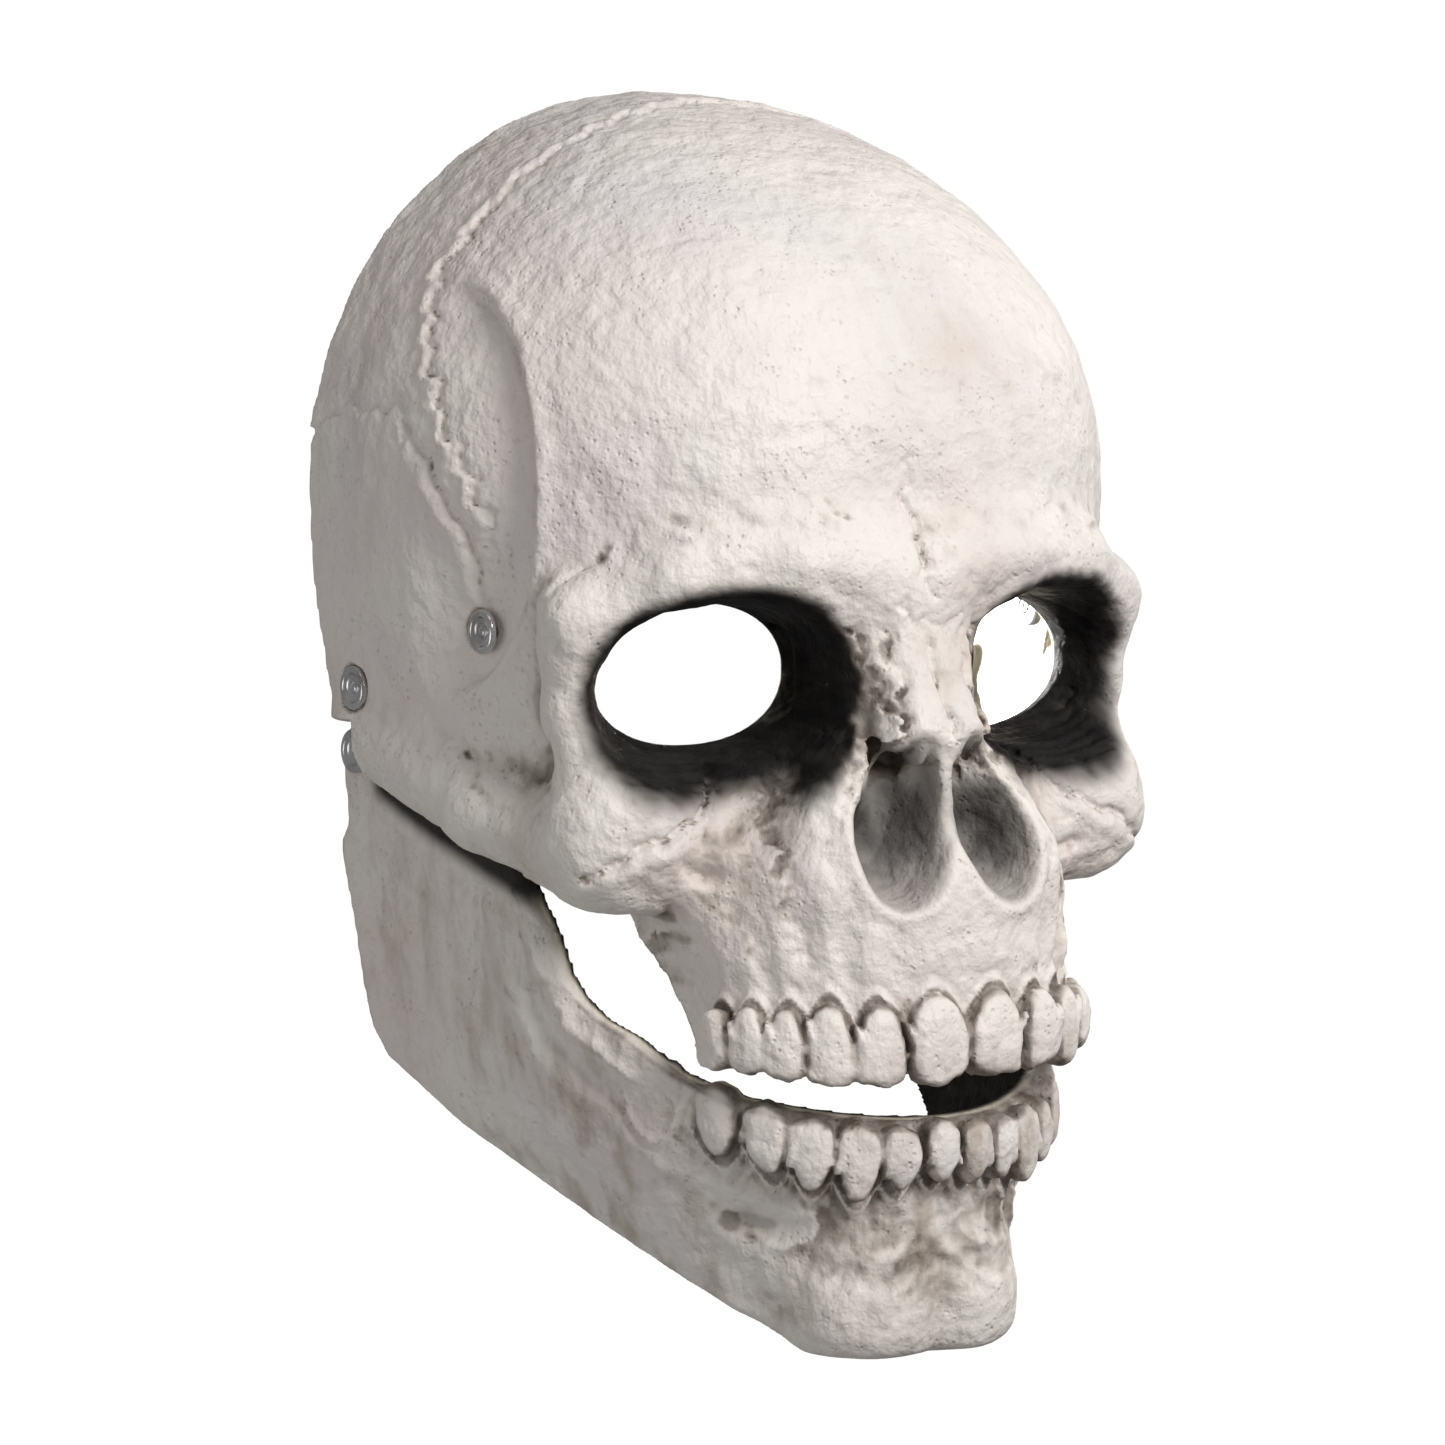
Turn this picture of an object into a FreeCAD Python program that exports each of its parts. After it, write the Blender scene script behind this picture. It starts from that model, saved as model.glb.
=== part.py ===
import FreeCAD, Part
import math
import os

# A wearable skull: an upper latex shell with an open back, and a lower jaw that swings on two snaps.
# +Z is up and the face looks along -Y. The origin is in the plane of the open back, at ear level.

os.makedirs("parts", exist_ok=True)
doc = FreeCAD.newDocument("skull_mask")
Vector = FreeCAD.Vector

# ---------------------------------------------------------------- driving sizes, in millimetres and degrees

SIZES = {
    "latex_wall": 3.0,
    "cranium_half_width": 82.0,
    "cranium_depth": 97.0,
    "cranium_centre_height": 52.0,
    "cranium_rise": 79.0,
    "cranium_drop": 128.0,
    "eye_hole_side": 34.6,
    "eye_hole_height": 14.2,
    "eye_hole_half_width": 23.0,
    "eye_hole_half_height": 14.2,
    "upper_teeth_bottom": -63.5,
    "cheek_inner_side": 47.0,
    "jaw_wall": 2.8,
    "jaw_hinge_width": 74.0,
    "jaw_depth": 111.0,
    "hinge_rear": 5.5,
    "hinge_drop": 4.0,
    "hinge_notch_height": 2.5,
    "arch_snap_front": 11.0,
    "arch_snap_height": 9.5,
    "arch_boss_radius": 5.6,
    "temple_snap_front": 49.5,
    "temple_snap_height": 23.0,
    "cap_radius": 4.6,
    "cap_height": 1.5,
    "cap_dish_radius": 2.9,
    "post_radius": 1.6,
    "bore_clearance": 0.05,
    "washer_radius": 4.2,
    "washer_height": 0.9,
    "tab_thickness": 1.3,
    "tab_gap": 1.2,
    "tab_end_radius": 5.6,
    "strap_thickness": 1.4,
    "strap_width": 18.0,
    "strap_rear_gap": 3.5,
    "pad_thickness": 10.0,
    "gap": 0.4,
}


def make_sheet():
    """The spreadsheet that holds every driving size under a word alias."""
    sheet = doc.addObject("Spreadsheet::Sheet", "Sizes")
    for row, (alias, value) in enumerate(SIZES.items(), start=1):
        sheet.set("A%d" % row, alias.replace("_", " "))
        sheet.set("B%d" % row, str(value))
        sheet.setAlias("B%d" % row, alias)
    doc.recompute()
    return sheet


SHEET = make_sheet()


def size(alias):
    return float(SHEET.get(alias))


# ---------------------------------------------------------------- signed distances for the bone form

def ellipsoid(p, centre, radii):
    q = [(p[i] - centre[i]) / radii[i] for i in range(3)]
    near = math.sqrt(sum(v * v for v in q))
    slope = math.sqrt(sum((q[i] / radii[i]) ** 2 for i in range(3))) + 1e-9
    return near * (near - 1.0) / slope


def cranium(p):
    """The brain case: squared off in plan, taller below its widest level than above."""
    half_width, depth = size("cranium_half_width"), size("cranium_depth")
    up = p[2] - size("cranium_centre_height")
    rise = size("cranium_rise") if up > 0 else size("cranium_drop")
    power = 2.75
    across = abs(p[0]) / half_width + 1e-6
    along = abs(p[1] - 2.0) / (depth + 2.0) + 1e-6
    near = math.sqrt((across ** power + along ** power) ** (2.0 / power) + (up / rise) ** 2)
    return (1.0 - 1.0 / near) * math.dist(p, (0.0, 2.0, size("cranium_centre_height")))


def ridge(p, points, radii):
    """A chain of tapered round bars through the points."""
    best = 1e9
    for k in range(len(points) - 1):
        a, b = points[k], points[k + 1]
        along = [b[i] - a[i] for i in range(3)]
        length2 = sum(v * v for v in along)
        h = sum((p[i] - a[i]) * along[i] for i in range(3)) / length2
        h = min(max(h, 0.0), 1.0)
        foot = [a[i] + along[i] * h for i in range(3)]
        best = min(best, math.dist(p, foot) - radii[k] - (radii[k + 1] - radii[k]) * h)
    return best


def join(a, b, blend):
    h = max(blend - abs(a - b), 0.0) / blend
    return min(a, b) - h * h * blend * 0.25


def carve(a, b, blend):
    return -join(-a, b, blend)


def turned(p, centre, degrees):
    """The point p turned about an upright line through centre."""
    c, s = math.cos(math.radians(degrees)), math.sin(math.radians(degrees))
    x, y = p[0] - centre[0], p[1] - centre[1]
    return (centre[0] + c * x + s * y, centre[1] - s * x + c * y, p[2])


BROW = [(5, -94, 33), (26, -93, 36), (48, -86, 35), (64, -76, 26)]
OUTER_EYE_RIM = [(66, -75, 25), (65, -72, 8), (60, -76, -10)]
CHEEK_ARCH = [(60, -72, -20), (68, -45, -13), (71, -8, 0)]
NOSE_BRIDGE = [(0, -93, 26), (0, -99, 13), (0, -107, 3)]
NOSE_SIDE = [(12, -89, 22), (20, -97, -2), (25, -103, -22)]

# Each dental arch: half width, reach forward of its centre, centre along Y, squareness, teeth as
# (distance from the middle, width), height of the biting edge at the front, tooth height.
UPPER_ARCH = {
    "half_width": 46.0, "reach": 43.0, "centre": -72.5, "power": 2.38,
    "teeth": [(6.9, 12.6), (19.0, 10.6), (28.4, 9.6), (35.2, 9.2), (40.4, 9.2), (44.0, 9.0)],
    "edge": -63.5, "height": 13.0, "rise": 2.0,
}
LOWER_ARCH = {
    "half_width": 44.5, "reach": 44.5, "centre": -68.5, "power": 2.05,
    "teeth": [(4.2, 7.6), (12.2, 8.2), (20.0, 9.0), (27.7, 9.0), (34.1, 9.0), (39.5, 9.4), (43.0, 9.4)],
    "edge": -84.0, "height": 12.5, "rise": 7.0,
}


def arch_ring(p, arch):
    """Distance outside an arch's outline, seen in plan."""
    across = abs(p[0]) / arch["half_width"]
    forward = max(arch["centre"] - p[1], 0.0) / arch["reach"]
    power = arch["power"]
    return ((across ** power + forward ** power + 1e-9) ** (1.0 / power) - 1.0) * arch["half_width"]


def teeth_band(p):
    """The gum and root band that carries the upper teeth."""
    return max(arch_ring(p, UPPER_ARCH), abs(p[2] + 58.0) - 18.0, p[1] + 66.0)


def eye_socket(p):
    """A slanted oval funnel that narrows toward the eye hole."""
    wider = min(max((-71.4 - p[1]) / 13.6, -0.2), 1.9)
    tilt = math.radians(-6)
    across, up = p[0] - 35.0 - 4.0 * wider, p[2] - 14.0 + 1.2 * wider
    major = (across * math.cos(tilt) + up * math.sin(tilt)) / (22.8 + 4.2 * wider)
    minor = (up * math.cos(tilt) - across * math.sin(tilt)) / (14.4 + 5.0 * wider)
    round_off = (abs(major) ** 2.3 + abs(minor) ** 2.3 + 1e-9) ** (1 / 2.3)
    return max((round_off - 1.0) * (14.4 + 5.0 * wider), p[1] + 70.0)


def skull_form(x, y, z):
    """Distance outside the solid bone form, negative inside it. Both halves are alike."""
    p = (math.sqrt(x * x + 0.5), y, z)
    d = cranium(p)
    d = join(d, ridge(p, BROW, [9, 7.5, 7, 6]), 10)
    d = join(d, ridge(p, OUTER_EYE_RIM, [5, 5, 7]), 8)
    d = join(d, ellipsoid(p, (52, -78, -17), (19, 12, 15)), 10)
    d = join(d, ridge(p, CHEEK_ARCH, [10, 8, 8]), 8)
    d = join(d, ellipsoid(p, (0, -72, -34), (44, 44, 36)), 10)
    d = join(d, ridge(p, NOSE_BRIDGE, [6.5, 6, 5.5]), 9)
    d = join(d, ridge(p, NOSE_SIDE, [5, 5, 6]), 9)
    d = join(d, teeth_band(p), 8)
    d = carve(d, ellipsoid(p, (64, -80, -54), (22, 30, 19)), 8)
    d = carve(d, eye_socket(p), 4)
    d = carve(d, ellipsoid(p, (84, -57, 24), (12, 22, 28)), 8)
    return carve(d, ellipsoid(turned(p, (11.5, -106), 12), (11, -113, -14), (9, 13, 16.5)), 4)


# ---------------------------------------------------------------- surfaces and closed shells

CAST_CENTRE = (0.0, 25.0, 5.0)
CAST_START = 180.0


def cast_form(side, lift, depth):
    """The outermost point of the form, shrunk by depth, seen from the cast centre at two angles."""
    toward = (math.sin(side), -math.cos(side) * math.cos(lift), math.cos(side) * math.sin(lift))
    reach = CAST_START
    for _ in range(80):
        point = [CAST_CENTRE[i] + toward[i] * reach for i in range(3)]
        outside = skull_form(*point) + depth
        if outside < 0.05 or reach < 20.0:
            break
        reach -= max(outside * 0.85, 0.04)
    return Vector(*point)


def smooth_surface(rows):
    """A smooth surface that follows a grid of control points."""
    surface = Part.BSplineSurface()

    def knots(count):
        inner = count - 4
        return [4] + [1] * inner + [4], [float(k) for k in range(inner + 2)]

    u_mults, u_knots = knots(len(rows))
    v_mults, v_knots = knots(len(rows[0]))
    surface.buildFromPolesMultsKnots(rows, u_mults, v_mults, u_knots, v_knots, False, False, 3, 3)
    return surface


def closed_between(outer_rows, inner_rows):
    """A solid wall between two like grids, closed by ruled strips around the edge."""
    outer = smooth_surface(outer_rows).toShape()
    inner = smooth_surface(inner_rows).toShape()
    strips = []
    for outer_edge, inner_edge in zip(outer.Edges, inner.Edges):
        strips.append(Part.makeRuledSurface(outer_edge, inner_edge))
    shell = Part.makeShell([outer, inner] + strips)
    shell.sewShape()
    solid = Part.makeSolid(shell)
    if solid.Volume < 0:
        solid.reverse()
    return solid


def spread(first, last, count):
    """Evenly spaced angles in radians between two angles in degrees."""
    return [math.radians(first + (last - first) * k / (count - 1)) for k in range(count)]


def form_layer(sides, lifts, depth_from, depth_to):
    """A closed layer that follows the form between two depths, over a range of cast angles."""
    faces = []
    for depth in (depth_from, depth_to):
        faces.append([[cast_form(a, b, depth) for b in spread(*lifts)] for a in spread(*sides)])
    return closed_between(*faces)


def skull_wall():
    """The open-backed wall of the upper shell before its openings are cut."""
    return form_layer((-84, 84, 49), (-64, 96, 45), 0.0, size("latex_wall"))


def side_profile(points, x_from, x_to):
    """A closed side outline of (y, z) points, pushed through from x_from to x_to."""
    corners = [Vector(x_from, y, z) for y, z in points]
    face = Part.Face(Part.makePolygon(corners + corners[:1]))
    return face.extrude(Vector(x_to - x_from, 0, 0))


def both_sides(shape):
    other = shape.mirror(Vector(0, 0, 0), Vector(1, 0, 0))
    return [shape, other]


def x_post(x_from, x_to, y, z, radius):
    """A round bar along X."""
    return Part.makeCylinder(radius, x_to - x_from, Vector(x_from, y, z), Vector(1, 0, 0))


def side_reach(y, z, depth):
    """How far out in X the form's side is at one height and depth."""
    x = 110.0
    for _ in range(200):
        outside = skull_form(x, y, z) + depth
        if outside < 0.02:
            break
        x -= max(outside * 0.8, 0.02)
    return x


def ring_reach(y, z, radius, depth):
    """Least side reach of the form around a ring."""
    turns = [math.radians(45 * k) for k in range(8)]
    return min(side_reach(y + radius * math.cos(t), z + radius * math.sin(t), depth) for t in turns)


# ---------------------------------------------------------------- where the snaps sit

TEMPLE = (-size("temple_snap_front"), size("temple_snap_height"))
ARCH = (-size("arch_snap_front"), size("arch_snap_height"))
HINGE = (-size("hinge_rear"), -size("hinge_drop"))
TEMPLE_SEAT = ring_reach(*TEMPLE, size("cap_radius"), 0.0) - 0.2
ARCH_SEAT = ring_reach(*ARCH, size("cap_radius"), 0.0) - 0.2
JAW_OUTER = size("jaw_hinge_width")
JAW_INNER = JAW_OUTER - size("jaw_wall")
TAB_OUTER = JAW_INNER - size("tab_gap")
TAB_INNER = TAB_OUTER - size("tab_thickness")
STRAP_OUTER = ring_reach(*TEMPLE, 9.0, size("latex_wall")) - size("gap")
STRAP_INNER = STRAP_OUTER - size("strap_thickness")


def eye_hole():
    """An oval bar along Y that opens one eye."""
    wide, tall = size("eye_hole_half_width"), size("eye_hole_half_height")
    oval = Part.Ellipse(Vector(0, 0, 0), wide, tall).toShape()
    face = Part.Face(Part.Wire([oval]))
    bar = face.extrude(Vector(0, 0, 100))
    bar.rotate(Vector(0, 0, 0), Vector(1, 0, 0), 90)
    bar.translate(Vector(size("eye_hole_side"), -50, size("eye_hole_height")))
    return bar


def arch_place(arch, x):
    """The arch outline's forward place and outward heading at a distance x from the middle."""

    def ahead(across):
        inside = max(1.0 - (across / arch["half_width"]) ** arch["power"], 0.0)
        return arch["centre"] - arch["reach"] * inside ** (1.0 / arch["power"])

    slope = (ahead(x + 0.2) - ahead(x - 0.2)) / 0.4
    return ahead(x), math.degrees(math.atan(slope))


def tooth_row(arch, outward):
    """Every tooth of one arch as an oval post, the biting edges rising toward the back."""
    posts = []
    for x, width in arch["teeth"]:
        y, heading = arch_place(arch, x)
        thick = 2.4
        low = arch["edge"] + arch["rise"] * (x / arch["half_width"]) ** 2
        oval = Part.Ellipse(Vector(0, thick - outward, 0), width / 2 - 0.2, thick).toShape()
        post = Part.Face(Part.Wire([oval])).extrude(Vector(0, 0, arch["height"]))
        post.rotate(Vector(0, 0, 0), Vector(0, 0, 1), heading)
        post.translate(Vector(x, y, low))
        posts += both_sides(post)
    return posts


def palate_opening():
    """The space inside the upper teeth, open from the mouth up into the face."""
    inset = size("latex_wall") + 1.2
    points = [Vector(size("cheek_inner_side"), -60, 0)]
    for turn in spread(90, -90, 31):
        across = math.copysign(abs(math.sin(turn)) ** (2 / UPPER_ARCH["power"]), turn)
        ahead = math.cos(turn) ** (2 / UPPER_ARCH["power"]) if math.cos(turn) > 1e-9 else 0.0
        x = (UPPER_ARCH["half_width"] - inset) * across
        points.append(Vector(x, UPPER_ARCH["centre"] - (UPPER_ARCH["reach"] - inset) * ahead, 0))
    points[0].x = points[1].x
    points.append(Vector(points[-1].x, -60, 0))
    face = Part.Face(Part.makePolygon(points + points[:1]))
    face.translate(Vector(0, 0, -80))
    return face.extrude(Vector(0, 0, 30))


def upper_shell_shape():
    shell = skull_wall()
    teeth = size("upper_teeth_bottom")
    cheek = size("cheek_inner_side")
    notch = size("hinge_notch_height")
    cheek_edge = [
        (20, notch), (-11.5, notch), (-14, -9), (-38, -20), (-62, -31), (-92, -34),
        (-150, -34), (-150, -150), (20, -150),
    ]
    tools = [
        Part.makeBox(300, 200, 400, Vector(-150, 0, -200)),
        Part.makeBox(300, 300, 100, Vector(-150, -250, teeth - 100)),
        Part.makeBox(2 * cheek + 1, 100, 100, Vector(-cheek - 0.5, -72, -115)),
        palate_opening(),
    ]
    tools += both_sides(side_profile(cheek_edge, cheek, 130))
    tools += both_sides(eye_hole())
    shell = shell.cut(tools)
    boss = x_post(TAB_OUTER + size("gap"), ARCH_SEAT - 1.5, *ARCH, size("arch_boss_radius"))
    shell = shell.fuse(both_sides(boss) + tooth_row(UPPER_ARCH, 1.6))
    post = size("post_radius")
    seat = size("cap_radius") + 0.2
    drills = both_sides(x_post(60, 100, *TEMPLE, post)) + both_sides(x_post(60, 100, *ARCH, post))
    drills += both_sides(x_post(TEMPLE_SEAT, 100, *TEMPLE, seat))
    drills += both_sides(x_post(ARCH_SEAT, 100, *ARCH, seat))
    return shell.cut(drills)


# ---------------------------------------------------------------- the jaw

# Height, half width at the rear, reach forward and squareness of the horseshoe, from the top down.
JAW_PLAN = [
    (5.0, 74.0, 111.0, 2.0),
    (-8.0, 74.0, 111.0, 2.0),
    (-25.0, 72.5, 111.0, 2.0),
    (-62.0, 66.0, 111.5, 2.05),
    (-80.0, 60.0, 110.5, 2.1),
    (-100.0, 49.0, 107.0, 2.2),
    (-126.0, 36.0, 99.0, 2.5),
]
JAW_OUTLINE = [
    (0, -8), (0, -69), (-20, -80), (-60, -103), (-93, -122), (-125, -122), (-125, -72), (-111, -72),
    (-95, -71), (-78, -66), (-66, -60), (-60, -50), (-57, -36), (-48, -25), (-30, -24),
    (-14, -16), (-12, -8),
]


def jaw_plan_at(height):
    """The horseshoe's half width, reach and squareness at one height."""
    for upper, lower in zip(JAW_PLAN, JAW_PLAN[1:]):
        if height >= lower[0]:
            break
    part = (height - lower[0]) / (upper[0] - lower[0])
    return [low + (high - low) * part for high, low in zip(upper[1:], lower[1:])]


def jaw_layer(heights, turns, depth_from, depth_to):
    """A closed layer of the jaw's horseshoe between two depths."""
    top, bottom, count = heights
    faces = []
    for depth in (depth_from, depth_to):
        rows = []
        for k in range(count):
            height = top + (bottom - top) * k / (count - 1)
            half_width, reach, power = jaw_plan_at(height)
            row = []
            for turn in spread(*turns):
                across = math.copysign(abs(math.sin(turn)) ** (2 / power), turn)
                ahead = math.copysign(abs(math.cos(turn)) ** (2 / power), math.cos(turn))
                row.append(Vector((half_width - depth) * across, (depth - reach) * ahead, height))
            rows.append(row)
        faces.append(rows)
    return closed_between(*faces)


def jaw_shape():
    jaw = jaw_layer((5.0, -126.0, 12), (-98, 98, 33), 0.0, size("jaw_wall"))
    keep = side_profile(JAW_OUTLINE, -90, 90)
    y, z = HINGE
    jaw = jaw.common(keep.fuse(x_post(-90, 90, y, z, -y)))
    jaw = jaw.fuse(tooth_row(LOWER_ARCH, 1.4))
    seats = both_sides(x_post(JAW_OUTER - 0.2, 100, y, z, size("cap_radius") + 0.2))
    return jaw.cut(seats + [x_post(-90, 90, y, z, size("post_radius"))])


def named(name, shape):
    """A sub-part whose shape is given: the largest solid of it."""
    solids = shape.Solids
    item = doc.addObject("Part::Feature", name)
    item.Label = name
    item.Shape = max(solids, key=lambda solid: solid.Volume)
    item.Placement = FreeCAD.Placement()
    return item


# ---------------------------------------------------------------- parts made of bound primitives

def bind(item, **formulas):
    for prop, formula in formulas.items():
        item.setExpression(prop, formula)
    return item


def primitive(kind, name, **formulas):
    return bind(doc.addObject("Part::" + kind, name), **formulas)


def facing(side):
    """The turn that points a primitive's own +Z out to one side."""
    return FreeCAD.Rotation(Vector(0, 1, 0), 90 * side)


def snap_cap(name, side, seat, y, z, inner):
    """A dished cap and its post. The post reaches inward to the washer's far face."""
    head = primitive("Cylinder", name + "_head", Radius="Sizes.cap_radius", Height="Sizes.cap_height")
    post = primitive("Cylinder", name + "_post", Radius="Sizes.post_radius")
    post.Height = seat - inner + size("washer_height")
    post.Placement.Base = Vector(0, 0, -post.Height)
    dish = primitive("Cone", name + "_dish", Radius1="Sizes.post_radius", Radius2="Sizes.cap_dish_radius")
    bind(dish, Height="Sizes.cap_height * 0.6")
    dish.setExpression("Placement.Base.z", "Sizes.cap_height * 0.4")
    button = primitive("Sphere", name + "_button", Radius="Sizes.post_radius * 0.7")
    button.setExpression("Placement.Base.z", "Sizes.cap_height * 0.25")
    body = doc.addObject("Part::Fuse", name + "_stem")
    body.Base, body.Tool = head, post
    cut = doc.addObject("Part::Cut", name + "_cut")
    cut.Base, cut.Tool = body, dish
    cap = doc.addObject("Part::Fuse", name)
    cap.Base, cap.Tool = cut, button
    cap.Label = name
    cap.Placement = FreeCAD.Placement(Vector(side * seat, y, z), facing(side))
    return cap


def washer(name, side, y, z, outer):
    """A flat ring pressed on a post, its outer face at the given reach."""
    disc = primitive("Cylinder", name + "_disc", Radius="Sizes.washer_radius", Height="Sizes.washer_height")
    hole = primitive("Cylinder", name + "_hole", Radius="Sizes.post_radius", Height="Sizes.washer_height * 3")
    hole.setExpression("Placement.Base.z", "-Sizes.washer_height")
    ring = doc.addObject("Part::Cut", name)
    ring.Base, ring.Tool = disc, hole
    ring.Label = name
    ring.Placement = FreeCAD.Placement(Vector(side * (outer - size("washer_height")), y, z), facing(side))
    return ring


def sketch_body(name):
    body = doc.addObject("PartDesign::Body", name)
    body.Label = name
    sketch = body.newObject("Sketcher::SketchObject", name + "_outline")
    plane = [f for f in body.Origin.OriginFeatures if f.Role == "XY_Plane"][0]
    sketch.AttachmentSupport = [(plane, "")]
    sketch.MapMode = "FlatFace"
    return body, sketch


def pad(body, sketch, length):
    feature = body.newObject("PartDesign::Pad", body.Name + "_pad")
    feature.Profile = sketch
    feature.setExpression("Length", length)
    feature.Midplane = True
    return feature


def jaw_tab(name, side):
    """Webbing with rounded ends from the arch snap down to the jaw snap."""
    body, sketch = sketch_body(name)
    length = math.dist(ARCH, HINGE)
    radius = size("tab_end_radius")
    quarter = math.pi / 2
    for x, start in ((0, quarter), (length, -quarter)):
        end = Part.Circle(Vector(x, 0, 0), Vector(0, 0, 1), radius)
        sketch.addGeometry(Part.ArcOfCircle(end, start, start + 2 * quarter))
    sketch.addGeometry(Part.LineSegment(Vector(0, radius, 0), Vector(length, radius, 0)))
    sketch.addGeometry(Part.LineSegment(Vector(0, -radius, 0), Vector(length, -radius, 0)))
    for x, bore in ((0, size("post_radius") + size("bore_clearance")), (length, size("post_radius"))):
        sketch.addGeometry(Part.Circle(Vector(x, 0, 0), Vector(0, 0, 1), bore))
    pad(body, sketch, "Sizes.tab_thickness")
    along = Vector(0, ARCH[0] - HINGE[0], ARCH[1] - HINGE[1]).normalize()
    out = Vector(1, 0, 0)
    turn = FreeCAD.Rotation(along, out.cross(along), out, "ZXY")
    body.Placement = FreeCAD.Placement(Vector(side * (TAB_OUTER + TAB_INNER) / 2, *HINGE), turn)
    return body


def strap_path():
    """Half of the strap's centre line in its own plane: points from the temple to the middle of the back."""
    side = (STRAP_OUTER + STRAP_INNER) / 2
    rear = size("temple_snap_front") - size("strap_rear_gap")
    return side, rear


def head_strap():
    """One elastic band: back along both temples and straight across the open back."""
    body, sketch = sketch_body("head_strap_band")
    side, rear = strap_path()
    half = size("strap_thickness") / 2
    bend = 9.0
    front = -8.0

    def leg(offset):
        """One edge of the band, as a line, an arc, a line, an arc and a line."""
        x, y, r = side + offset, rear + offset, bend + offset
        turn = Part.Circle(Vector(side - bend, rear - bend, 0), Vector(0, 0, 1), r)
        other = Part.Circle(Vector(bend - side, rear - bend, 0), Vector(0, 0, 1), r)
        return [
            Part.LineSegment(Vector(x, front, 0), Vector(x, rear - bend, 0)),
            Part.ArcOfCircle(turn, 0, math.pi / 2),
            Part.LineSegment(Vector(side - bend, y, 0), Vector(bend - side, y, 0)),
            Part.ArcOfCircle(other, math.pi / 2, math.pi),
            Part.LineSegment(Vector(-x, rear - bend, 0), Vector(-x, front, 0)),
        ]

    for piece in leg(half) + leg(-half):
        sketch.addGeometry(piece)
    for near, far in ((side - half, side + half), (-side - half, -side + half)):
        sketch.addGeometry(Part.LineSegment(Vector(near, front, 0), Vector(far, front, 0)))
    pad(body, sketch, "Sizes.strap_width")
    body.Placement = FreeCAD.Placement(Vector(0, *TEMPLE), FreeCAD.Rotation(Vector(1, 0, 0), 15))
    eyelet = primitive("Cylinder", "head_strap_eyelets", Radius="Sizes.post_radius")
    eyelet.Height = 4 * side
    eyelet.Placement = FreeCAD.Placement(Vector(-2 * side, *TEMPLE), facing(1))
    strap = doc.addObject("Part::Cut", "head_strap")
    strap.Base, strap.Tool = body, eyelet
    strap.Label = "head_strap"
    return strap


# ---------------------------------------------------------------- the assembly

def build():
    parts = [named("upper_skull_shell", upper_shell_shape()), named("jaw_shell", jaw_shape())]
    for word, side in (("right", -1), ("left", 1)):
        parts.append(snap_cap("temple_snap_cap_" + word, side, TEMPLE_SEAT, *TEMPLE, STRAP_INNER))
        parts.append(washer("temple_snap_washer_" + word, side, *TEMPLE, STRAP_INNER))
        parts.append(snap_cap("arch_snap_cap_" + word, side, ARCH_SEAT, *ARCH, TAB_INNER))
        parts.append(washer("arch_snap_washer_" + word, side, *ARCH, TAB_INNER))
        parts.append(snap_cap("jaw_snap_cap_" + word, side, JAW_OUTER - 0.2, *HINGE, TAB_INNER - 0.2))
        parts.append(washer("jaw_snap_washer_" + word, side, *HINGE, TAB_INNER - 0.2))
        parts.append(jaw_tab("jaw_tab_" + word, side))
    parts.append(head_strap())
    near = size("latex_wall") + size("gap")
    far = near + size("pad_thickness")
    parts.append(named("forehead_pad", form_layer((-20, 20, 13), (30, 41, 7), near, far)))
    right_pad, left_pad = [form_layer((a, b, 7), (46, 65, 9), near, far) for a, b in ((-46, -35), (35, 46))]
    parts.append(named("temple_pad_right", right_pad))
    parts.append(named("temple_pad_left", left_pad))
    chin_near = size("jaw_wall") + 3 * size("gap")
    chin = jaw_layer((-90.0, -112.0, 8), (-24, 24, 11), chin_near, chin_near + size("pad_thickness"))
    parts.append(named("chin_pad", chin))
    return parts


PARTS = build()
doc.recompute()
for part in PARTS:
    trouble = [word for word in part.State if word in ("Invalid", "Error")]
    if trouble or part.Shape.isNull() or not part.Shape.isValid():
        print("BAD", part.Label, part.State)
    print(part.Label, round(part.Shape.Volume), len(part.Shape.Solids), part.Shape.isValid())
    part.Shape.exportStep("parts/%s.step" % part.Label)
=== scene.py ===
import math

import bpy
import numpy as np
import openvdb
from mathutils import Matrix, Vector


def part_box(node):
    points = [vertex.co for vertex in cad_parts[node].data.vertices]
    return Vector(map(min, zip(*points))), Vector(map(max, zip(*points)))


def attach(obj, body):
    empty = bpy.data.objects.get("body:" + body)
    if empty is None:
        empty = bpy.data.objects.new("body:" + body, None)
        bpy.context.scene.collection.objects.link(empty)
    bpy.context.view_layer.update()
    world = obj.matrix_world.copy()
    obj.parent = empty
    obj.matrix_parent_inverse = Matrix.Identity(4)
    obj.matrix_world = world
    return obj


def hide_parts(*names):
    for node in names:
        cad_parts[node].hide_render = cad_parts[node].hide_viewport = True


# A latex skull mask with an open back and a jaw that swings on two snaps.
# Shapes are worked out in millimetres as signed distances, negative inside, then meshed and scaled to
# metres. +Z is up, the face looks along -Y and the wearer's right is -X. A list of three arrays
# [x, y, z] is a cloud of points. A folded cloud has both halves of the head laid on the +X side.

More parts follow.
